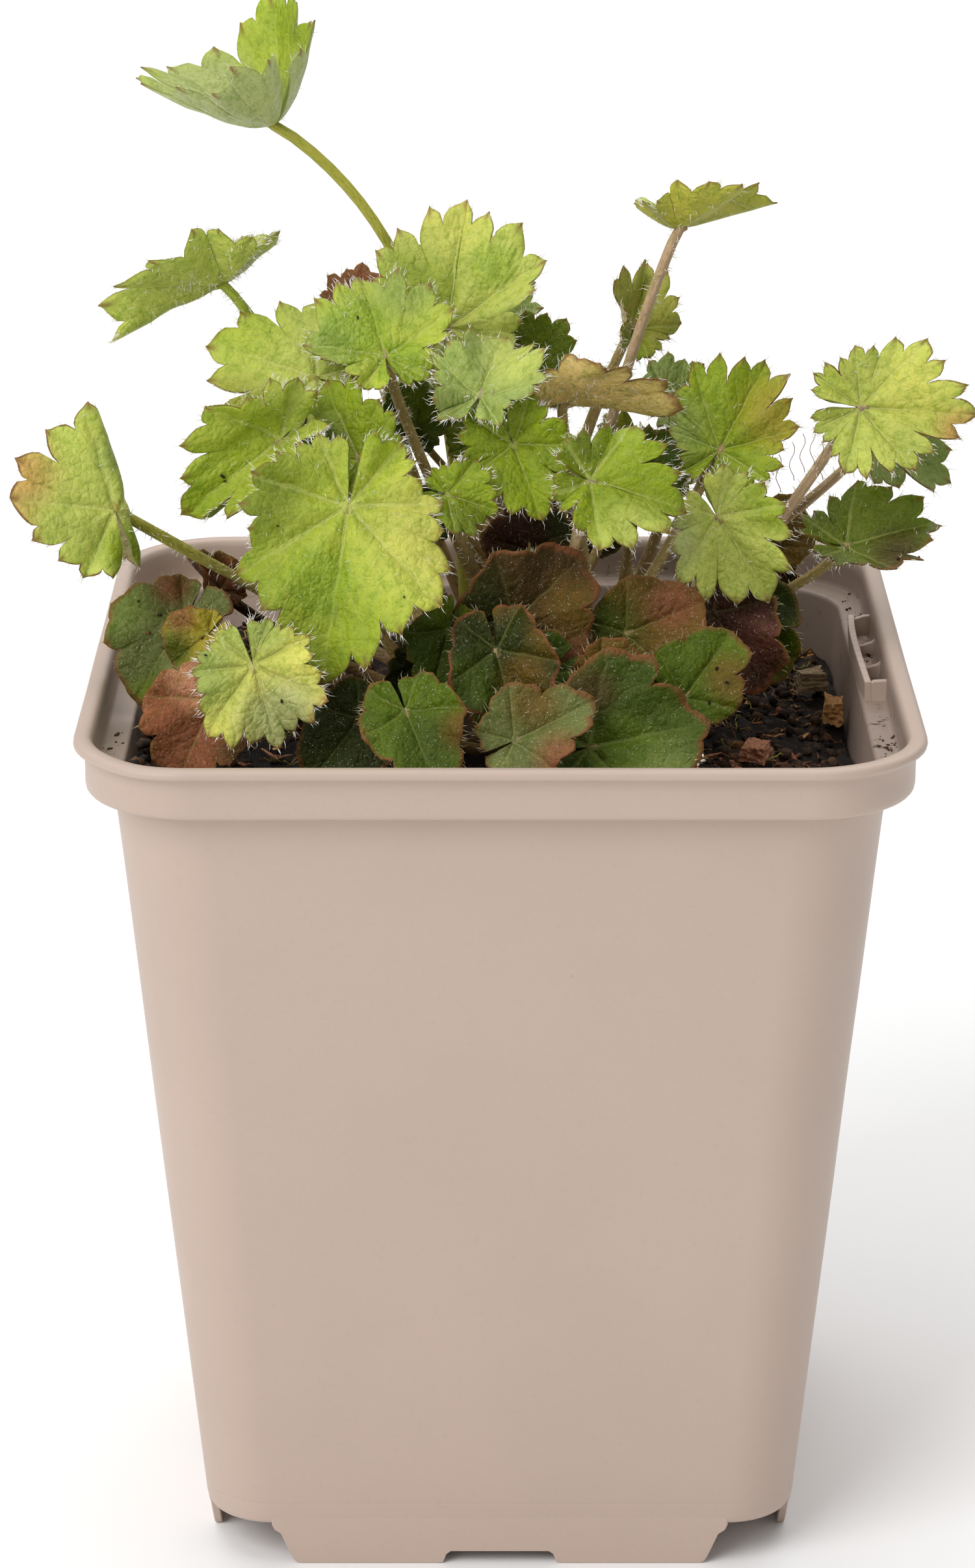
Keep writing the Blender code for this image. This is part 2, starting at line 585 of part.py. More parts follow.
def make_blade(collection, leaf, axes):
    """The blade: a fan of triangles round the stalk, given its thickness by Solidify."""
    points = [blade_point(leaf, axes, 0.0, 0.0, 0.0)]
    rim = outline_points(leaf)
    if leaf.size < SMALL_LEAF:
        points += [blade_point(leaf, axes, angle, 1.0, reach) for angle, reach in rim]
        faces = [(0, k + 1, k + 2) for k in range(len(rim) - 1)]
        return thicken(add_mesh(collection, leaf.name, points, faces))
    spokes = []
    for k, (angle, reach) in enumerate(rim):
        if k % 3 == 0:
            spokes.append(k)
            points.append(blade_point(leaf, axes, angle, 0.5, edge_reach(leaf, angle)))
    first_rim = len(points)
    for angle, reach in rim:
        points.append(blade_point(leaf, axes, angle, 1.0, reach))
    faces = []
    for s in range(len(spokes) - 1):
        faces.append((0, 1 + s, 2 + s))
        start, end = spokes[s], spokes[s + 1]
        middle = (start + end + 1) // 2
        for k in range(start, end):
            inner = 1 + s if k < middle else 2 + s
            faces.append((inner, first_rim + k, first_rim + k + 1))
        faces.append((1 + s, first_rim + middle, 2 + s))
    return thicken(add_mesh(collection, leaf.name, points, faces))


def spread_bearings(bearings, spacing):
    """Push bearings in degrees apart until neighbours keep their spacing."""
    spots = list(bearings)
    order = sorted(range(len(spots)), key=lambda k: spots[k])
    for _ in range(400):
        for place, k in enumerate(order):
            after = order[(place + 1) % len(order)]
            gap = spots[after] - spots[k] + (360.0 if place == len(order) - 1 else 0.0)
            if gap < spacing:
                push = (spacing - gap) / 2
                spots[k] -= push
                spots[after] += push
    return spots


def socket_directions():
    """Where each stalk leaves the crown: in its ring, as near its own leaf's bearing as fits."""
    sockets = {}
    for ring, lift in RING_LIFT.items():
        members = [leaf for leaf in LEAVES if leaf.ring == ring]
        own = [math.degrees(math.atan2(leaf.at[1] - CROWN.y, leaf.at[0] - CROWN.x)) for leaf in members]
        spacing = math.degrees(ROOT_SPACING / (CROWN_RADIUS * math.cos(math.radians(lift))))
        for leaf, bearing in zip(members, spread_bearings(own, spacing)):
            sockets[leaf.name] = direction_of(bearing, lift)
    return sockets


def stalk_points(leaf, axes, direction):
    """The stalk's line: straight out of its hole, then a smooth curve to the blade's back."""
    root = CROWN + direction * (CROWN_RADIUS - HOLE_DEPTH + ROOT_GAP)
    leave = CROWN + direction * (CROWN_RADIUS + ROOT_STRAIGHT)
    end = Vector(leaf.at)
    span = end - leave
    arrive = (span.normalized() + 0.8 * (axes @ Vector((0, 0, 1)))).normalized()
    first = leave + direction * span.length * 0.35 + Vector(leaf.sway)
    second = end - arrive * span.length * 0.3 + Vector(leaf.sway)
    line = [root]
    for k in range(STALK_POINTS):
        t = k / (STALK_POINTS - 1)
        near = leave * (1 - t) ** 3 + first * 3 * t * (1 - t) ** 2
        far = second * 3 * t * t * (1 - t) + end * t ** 3
        line.append(near + far)
    line[-1] = end + axes @ Vector((0.7, 0, -0.05))
    return line


def make_stalk(collection, leaf, axes, direction):
    line = stalk_points(leaf, axes, direction)
    curve = bpy.data.curves.new("stalk", "CURVE")
    curve.dimensions = "3D"
    curve.bevel_depth = leaf.stalk * MM
    curve.bevel_resolution = 1 if leaf.name.startswith("upper") else 0
    curve.use_fill_caps = True
    spline = curve.splines.new("POLY")
    spline.points.add(len(line) - 1)
    for k, (point, place) in enumerate(zip(spline.points, line)):
        point.co = (*(place * MM), 1.0)
        point.radius = 1.0
        if k < 2:
            point.radius = ROOT_RADIUS / leaf.stalk
        if k == len(line) - 1:
            point.radius = STALK_TIP
    tube = bpy.data.objects.new("stalk", curve)
    collection.objects.link(tube)
    bpy.context.view_layer.update()
    mesh = bpy.data.meshes.new_from_object(tube.evaluated_get(bpy.context.evaluated_depsgraph_get()))
    tidy_mesh(mesh)
    made = bpy.data.objects.new(f"{leaf.name}_stalk", mesh)
    collection.objects.link(made)
    bpy.data.objects.remove(tube)
    return made


def make_leaf(collection, leaf, direction, materials):
    axes = leaf_axes(leaf)
    blade = make_blade(collection, leaf, axes)
    combine(blade, "UNION", [make_stalk(collection, leaf, axes, direction)])
    blade.data.materials.clear()
    blade.data.materials.append(materials[leaf.kind])
    return blade


def make_chip(collection, name, middle, size, bearing, material):
    """A bark chip: a box with slanted, uneven sides that lies just clear of the soil."""
    length, width, height = size
    work = bmesh.new()
    bmesh.ops.create_cube(work, size=1.0)
    turn = math.radians(bearing)
    for vert in work.verts:
        taper = 0.8 if vert.co.z > 0 else 1.0
        skew = 0.12 if vert.co.x * vert.co.y > 0 else -0.1
        x = vert.co.x * length * taper + skew
        y = vert.co.y * width * (taper - skew)
        z = vert.co.z * height * (1.0 + skew)
        vert.co = Vector((middle[0] + x * math.cos(turn) - y * math.sin(turn),
                          middle[1] + x * math.sin(turn) + y * math.cos(turn), z))
    lowest = min(vert.co.z - soil_height(vert.co.x, vert.co.y) for vert in work.verts)
    for vert in work.verts:
        vert.co.z += CHIP_CLEARANCE - lowest
        vert.co *= MM
    mesh = bpy.data.meshes.new(name)
    bmesh.ops.triangulate(work, faces=work.faces)
    work.to_mesh(mesh)
    work.free()
    chip = bpy.data.objects.new(name, mesh)
    collection.objects.link(chip)
    chip.data.materials.append(material)
    return chip


def main():
    clear_scene()
    plant = bpy.data.collections.new("heuchera_plant")
    bpy.context.scene.collection.children.link(plant)
    sockets = socket_directions()
    make_pot(plant)
    make_soil(plant)
    make_crown(plant, sockets.values())
    materials = {kind: new_material(f"{kind}_leaf", colour, 0.55) for kind, colour in KIND_COLOURS.items()}
    for leaf in LEAVES:
        make_leaf(plant, leaf, sockets[leaf.name], materials)
    bark = new_material("bark", (0.35, 0.16, 0.07), 0.9)
    for name, middle, size, bearing in CHIPS:
        make_chip(plant, name, middle, size, bearing, bark)


main()
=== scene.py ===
"""Heuchera plant in its square nursery pot: the fine pieces, their finishes and the studio.

Sizes are in millimetres and meshes are made in metres, in the same frame as the plain solids: +Z is
up, +Y points away from the viewer and the origin is under the middle of the pot.
"""

import json
import math
import random
from typing import NamedTuple

import bmesh
import bpy
import numpy as np
from mathutils import Matrix, Vector, noise
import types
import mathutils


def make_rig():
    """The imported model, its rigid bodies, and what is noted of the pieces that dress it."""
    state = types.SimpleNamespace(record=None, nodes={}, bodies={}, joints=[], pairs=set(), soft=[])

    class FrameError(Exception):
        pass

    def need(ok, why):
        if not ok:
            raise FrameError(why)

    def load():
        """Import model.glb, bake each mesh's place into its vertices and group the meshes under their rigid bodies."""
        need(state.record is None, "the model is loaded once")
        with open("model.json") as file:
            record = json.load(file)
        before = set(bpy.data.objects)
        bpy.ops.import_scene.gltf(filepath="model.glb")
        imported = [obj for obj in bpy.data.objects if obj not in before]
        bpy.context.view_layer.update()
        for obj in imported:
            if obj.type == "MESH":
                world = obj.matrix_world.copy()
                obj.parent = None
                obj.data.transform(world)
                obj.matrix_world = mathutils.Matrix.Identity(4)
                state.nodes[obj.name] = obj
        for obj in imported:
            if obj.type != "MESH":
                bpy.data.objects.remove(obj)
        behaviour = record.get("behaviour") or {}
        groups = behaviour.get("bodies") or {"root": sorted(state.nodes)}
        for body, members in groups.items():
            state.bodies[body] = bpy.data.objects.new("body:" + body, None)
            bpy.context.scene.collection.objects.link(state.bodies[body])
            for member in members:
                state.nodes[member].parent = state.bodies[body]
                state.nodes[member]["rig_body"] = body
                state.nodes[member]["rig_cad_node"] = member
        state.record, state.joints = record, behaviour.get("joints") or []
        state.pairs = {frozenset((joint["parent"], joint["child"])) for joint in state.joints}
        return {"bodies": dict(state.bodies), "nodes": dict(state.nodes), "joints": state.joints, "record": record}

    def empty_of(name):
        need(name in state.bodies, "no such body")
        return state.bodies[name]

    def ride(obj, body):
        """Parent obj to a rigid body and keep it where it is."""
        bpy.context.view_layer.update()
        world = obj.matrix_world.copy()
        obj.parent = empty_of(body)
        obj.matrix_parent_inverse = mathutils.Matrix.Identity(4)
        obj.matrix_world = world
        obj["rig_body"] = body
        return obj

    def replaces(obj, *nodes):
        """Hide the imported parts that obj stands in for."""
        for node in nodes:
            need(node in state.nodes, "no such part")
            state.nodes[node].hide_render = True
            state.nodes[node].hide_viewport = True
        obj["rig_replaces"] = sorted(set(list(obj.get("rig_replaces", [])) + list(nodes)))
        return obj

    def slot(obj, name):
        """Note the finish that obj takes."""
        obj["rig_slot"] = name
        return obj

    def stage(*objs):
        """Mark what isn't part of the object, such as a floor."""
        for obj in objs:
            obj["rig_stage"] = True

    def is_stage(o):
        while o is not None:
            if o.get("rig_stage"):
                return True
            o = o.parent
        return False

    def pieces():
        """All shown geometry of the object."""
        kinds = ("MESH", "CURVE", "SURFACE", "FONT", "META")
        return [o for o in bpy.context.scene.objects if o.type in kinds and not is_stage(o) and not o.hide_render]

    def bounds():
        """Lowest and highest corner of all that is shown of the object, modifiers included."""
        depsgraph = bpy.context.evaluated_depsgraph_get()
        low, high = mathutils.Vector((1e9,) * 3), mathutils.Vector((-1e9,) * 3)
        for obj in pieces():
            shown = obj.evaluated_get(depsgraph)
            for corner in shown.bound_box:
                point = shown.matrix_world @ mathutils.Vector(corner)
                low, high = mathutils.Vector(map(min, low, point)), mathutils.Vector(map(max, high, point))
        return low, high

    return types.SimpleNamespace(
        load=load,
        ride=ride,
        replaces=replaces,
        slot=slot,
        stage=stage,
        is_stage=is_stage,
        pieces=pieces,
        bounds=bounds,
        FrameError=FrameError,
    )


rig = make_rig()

bl_info = {
    "name": "Heuchera Plant in a Square Pot",
    "version": (1, 0, 0),
    "blender": (4, 5, 0),
    "location": "3D View > Sidebar > Heuchera",
    "description": "Builds a hairy young heuchera plant in its taupe nursery pot, with compost and a plain studio",
    "category": "Add Mesh",
}

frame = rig.load()
FRAME_LOW, FRAME_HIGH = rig.bounds()

MM = 0.001
CAMERA_TILT = 18.7
CAMERA_PLACE = (-0.00137, -0.5105, 0.2539)

# Pot, as in the plain solids
LIP_WIDTH = 90.0
COLLAR_WIDTH = 87.7
BODY_WIDTH_TOP = 82.0
BODY_WIDTH_BOTTOM = 64.8
COLLAR_BOTTOM = 91.8
FLOOR_BOTTOM = 5.1
WALL = 1.0
LIP_CORNER = 13.0
COLLAR_CORNER = 12.2
BODY_CORNER_TOP = 10.8
BODY_CORNER_BOTTOM = 7.5
SKIRT_OUTLINE = ((-25.4, 8.0), (-25.4, 5.0), (-25.1, 4.3), (-24.4, 3.8), (-23.2, 0.8), (-22.9, 0.3), (-22.4, 0.0),
                 (-6.9, 0.0), (-6.5, 0.15), (-6.3, 0.6), (-6.1, 1.2), (-5.6, 1.6), (5.6, 1.6), (6.1, 1.2),
                 (6.3, 0.6), (6.5, 0.15), (6.9, 0.0), (22.4, 0.0), (22.9, 0.3), (23.2, 0.8), (24.4, 3.8),
                 (25.1, 4.3), (25.4, 5.0), (25.4, 8.0))
DRAIN_HOLE = 3.5
DRAIN_SPACING = 17.0
MOULD_LINE = 7.8
NICK = (-38.0, -43.0)
LABEL_FRONT = -6.0
LABEL_BACK = 20.0
LABEL_TAB_X = 40.5
LABEL_TOP = 96.0
LABEL_RIBS = (3.0, 11.5)
LABEL_SLOTS = ((4.5, 10.0), (13.0, 17.5))

# Compost and crown
SOIL_GAP = 0.3
SOIL_BOTTOM = FLOOR_BOTTOM + WALL + SOIL_GAP
SOIL_LEVEL = 87.6
SOIL_EDGE_DROP = 3.0
SOIL_REACH = 38.4
OPEN_RIGHT = 16
OPEN_LEFT = -22
OPEN_FRONT = -26
LEFT_BANK = (-36, 12)
CROWN = Vector((3.0, 1.0, 87.0))
CROWN_RADIUS = 10.0
CROWN_FOOT_RADIUS = 9.4
CROWN_FOOT_DEPTH = 4.6
DISH_EDGE = 11.6
HOLE_DEPTH = 2.3
ROOT_GAP = 0.3
ROOT_RADIUS = 0.6
ROOT_SPACING = 2.9
ROOT_STRAIGHT = 1.2
RING_LIFT = {"top": 72.0, "upper": 50.0, "lower": 30.0, "outer": 9.0}

# Leaves
LOBE_SPREAD = 173.0
TOOTH_PLACES = (-0.68, 0.0, 0.68)
NOTCH_PLACES = (-0.35, 0.35)
SIDE_TOOTH = 0.955
TOOTH_TOP = 0.975
TOOTH_DEPTH = 0.42
LOBE_CHANGE = 0.07
PLEAT = 0.04
FOLD_WIDTH = 0.3
TOOTH_ROUND = 0.58
LOBE_ROUND = 0.42
TOOTH_POINT = 0.022
OLD_TEETH = 0.45
STALK_SIDES = 8
SHOOT_LIFT = 80.0

# Hairs: their three sides, how those of the old leaves differ, which point of a stalk they start at, and
# the share below which a leaf counts as nearly bare
HAIR_SIDES = (0, 2.094, 4.189)
OLD_HAIR_WIDTH = 0.72
OLD_HAIR_TINT = 0.75
OLD_HAIR_SHARE = 0.4
STALK_HAIRS_FROM = 10.0
FEW_HAIRS = 0.3


class Leaf(NamedTuple):
    """A blade on its stalk: where they meet, where the blade looks, and how it is shaped.

    face is the bearing and the lift of the upper side, and turn is the way the tip points to someone
    who looks at that side: 0 to the right, 90 up. folds lift the left and right halves.
    """
    name: str
    at: tuple
    face: tuple
    turn: float
    size: float
    ring: str
    kind: str
    lobes: int = 5
    depth: float = 0.2
    cup: float = 8
    folds: tuple = (8, 8)
    bend: float = 15
    wave: float = 0.04
    back: float = 0.55
    stalk: float = 0.75
    sway: tuple = (0, 0, 0)


LEAVES = (
    Leaf("upper_leaf_01", (-25, 12, 154), (180, 64), 223, 18, "upper", "young", 5, 0.34, 42, (0, 0), 0,
         0.03, 0.2, sway=(12, 5, 4)),
    Leaf("upper_leaf_02", (-30.5, 5, 137.7), (145, 52), -58, 14.5, "upper", "young", 5, 0.36, 16,
         back=0.35, sway=(2, 5, 0)),
    Leaf("upper_leaf_03", (-20, -3, 128.8), (-95, 45), 160, 14, "upper", "young", 5, 0.36, 6, (-10, 5), 10),
    Leaf("upper_leaf_04", (-41.4, -15, 117.3), (-76, 12), 103, 13.2, "lower", "young", 5, 0.3, 4, (4, -87),
         14, back=0.3),
    Leaf("upper_leaf_05", (-23.7, -9, 123.5), (-105, 25), 222, 14, "lower", "young", 5, 0.36, 8, (38, 42)),
    Leaf("upper_leaf_06", (-15.2, -10, 121.5), (-100, 25), 118, 9.5, "upper", "young", 5, 0.34),
    Leaf("upper_leaf_07", (-12.5, -4, 131.5), (-85, 50), 100, 12.3, "top", "young", 5, 0.36),
    Leaf("upper_leaf_08", (-5.7, 6, 132.3), (-95, 32), 86, 15.8, "top", "young", 7, 0.28, 6, back=0.75),
    Leaf("upper_leaf_09", (-2.2, -11, 128.8), (-90, 58), 75, 10.5, "top", "young", 5, 0.36),
    Leaf("upper_leaf_10", (-16.2, -19, 118.8), (-90, 28), -98, 19, "lower", "young", 7, 0.24, 3, (6, 6),
         10, back=0.65),
    Leaf("upper_leaf_11", (-26, -31, 104.8), (-95, 22), -72, 10.2, "outer", "grown", 7, 0.28, 3, (6, 6),
         10, back=0.4),
    Leaf("upper_leaf_12", (-5.7, -17, 119.5), (-80, 25), -20, 6.6, "upper", "young", 5, 0.34),
    Leaf("upper_leaf_13", (1.4, -11.5, 123.6), (-90, 25), -70, 8.6, "top", "grown", 5, 0.36, back=0.2),
    Leaf("upper_leaf_14", (9.6, -15.6, 120.7), (-80, 30), -20, 12, "upper", "young", 5, 0.4, back=0.75),
    Leaf("upper_leaf_15", (23.8, -6, 114), (-85, 15), -58, 11.3, "lower", "grown", 5, 0.42),
    Leaf("upper_leaf_16", (24.6, 6.5, 118.3), (-90, 28), 62, 12, "upper", "grown", 7, 0.34, back=0.65),
    Leaf("upper_leaf_17", (40, 4, 123.8), (-95, 20), -2, 12.6, "lower", "young", 7, 0.36),
    Leaf("upper_leaf_18", (42.3, 12, 118.2), (-85, 40), -32, 9.8, "lower", "grown", 5, 0.34),
    Leaf("upper_leaf_19", (39, 7, 107), (-90, 60), 12, 11.5, "lower", "grown", 5, 0.34, 16),
    Leaf("upper_leaf_20", (20, 14, 142), (90, 72), 180, 12, "upper", "grown", 5, 0.34, 24, sway=(-4, 0, 0)),
    Leaf("upper_leaf_21", (15, 18, 129.5), (-60, 30), 60, 8.5, "upper", "grown", 5, 0.34, 5, (40, 20)),
    Leaf("upper_leaf_22", (6.8, 0, 125.4), (90, 60), 188, 14, "upper", "bronze", 5, 0.3, 8, (5, 20), back=1.1),
    Leaf("upper_leaf_23", (19, 11, 122.5), (-80, 40), 45, 7, "upper", "grown", 5, 0.28, sway=(4, 3, 0)),
    Leaf("upper_leaf_24", (-15.4, 14, 132), (-90, 40), 90, 7, "upper", "bronze", 5, 0.28),
    Leaf("upper_leaf_25", (3, 12, 126.5), (-80, 30), 45, 7.5, "top", "dark", 5, 0.28),
    Leaf("upper_leaf_26", (15.5, 6, 114), (-90, 30), 60, 8, "upper", "dark", 5, 0.28),
    Leaf("upper_leaf_27", (-4.5, 19, 129), (-90, 40), 78, 14, "top", "young", 5, 0.28),
    Leaf("lower_leaf_01", (-34.5, -9, 103.2), (-110, 35), 247, 11, "outer", "dark", 5, 0.2, 4, (30, 20)),
    Leaf("lower_leaf_02", (-31, -2, 104.5), (-60, 20), 120, 6, "outer", "dry", 5, 0.2, 5, (50, 50)),
    Leaf("lower_leaf_03", (-31.5, -17.5, 104), (-110, 30), 225, 6, "outer", "bronze", 5, 0.14),
    Leaf("lower_leaf_04", (-30.5, -25, 99), (-100, 30), 250, 10.5, "outer", "dry", 5, 0.22),
    Leaf("lower_leaf_05", (-0.4, -23.2, 104), (-85, 25), -80, 9.8, "lower", "dark", 5, 0.2, 4, (20, 20),
         back=0.4, sway=(-8, 0, 0)),
    Leaf("lower_leaf_06", (1.6, -16.5, 105.4), (-80, 10), 40, 9.8, "lower", "bronze", 5, 0.22, back=0.12),
    Leaf("lower_leaf_07", (5, -21, 100.8), (-95, 30), -140, 9.5, "outer", "dark", 5, 0.12),
    Leaf("lower_leaf_08", (-10, -32, 100), (-90, 45), -70, 9.5, "outer", "dark", 5, 0.2),
    Leaf("lower_leaf_09", (1.5, -33, 97), (-95, 40), 30, 9, "outer", "bronze", 5, 0.24),
    Leaf("lower_leaf_10", (9.5, -29, 95), (-90, 35), 12, 13.8, "outer", "dark", 5, 0.24),
    Leaf("lower_leaf_11", (13.7, -15, 103.4), (-90, 25), 22, 9, "lower", "bronze", 5, 0.12),
    Leaf("lower_leaf_12", (19.8, -21.6, 98.2), (-80, 30), 50, 8.9, "outer", "dark", 5, 0.24),
    Leaf("lower_leaf_13", (23.5, -6, 103), (-80, 25), -60, 10.5, "lower", "red", 5, 0.28),
    Leaf("lower_leaf_14", (26, -1, 102.5), (-80, 25), -60, 10.5, "outer", "dark", 5, 0.28),
    Leaf("lower_leaf_15", (10.6, -23.6, 100.8), (-90, 35), 18, 6.3, "outer", "bronze", 5, 0.14),
    Leaf("lower_leaf_16", (-15, -27, 97.5), (-95, 30), -125, 8.5, "outer", "bronze", 5, 0.14),
    Leaf("lower_leaf_17", (31, 16, 104.5), (-90, 20), 60, 7, "lower", "bronze", 5, 0.18),
    Leaf("lower_leaf_18", (3.2, -9.2, 111.2), (-85, 3), 95, 6.5, "lower", "red", 5, 0.2, back=0.2),
    Leaf("back_leaf_01", (-22, 22, 114), (130, 50), -90, 12.5, "lower", "young", 5, 0.26),
    Leaf("back_leaf_02", (-4, 28, 119), (95, 50), -90, 13, "upper", "young", 5, 0.26),
    Leaf("back_leaf_03", (17, 27, 113), (60, 50), -90, 12.5, "lower", "grown", 5, 0.26),
    Leaf("back_leaf_04", (8, 32, 103), (85, 40), -90, 11.5, "outer", "dark", 5, 0.14),
    Leaf("back_leaf_05", (-14, 30, 103), (110, 40), -90, 10.5, "outer", "bronze", 5, 0.14),
    Leaf("back_leaf_06", (28, 24, 101), (45, 45), -90, 9.5, "outer", "dark", 5, 0.14),
)


class Look(NamedTuple):
    """How one leaf is coloured: its upper side, its under side, its stalk near the crown and near the blade,
    how red its rim is, and soft patches. A patch lies across and up from the stalk's end, in millimetres as
    seen from the front, and has a reach and a colour. Hairs is how many it has, and wet marks wet spots.
    """
    top: str = "fresh"
    under: str = "olive"
    root: str = "stem"
    neck: str = "straw"
    rim: float = 0.4
    patches: tuple = ()
    hairs: float = 1.0
    wet: tuple = ()


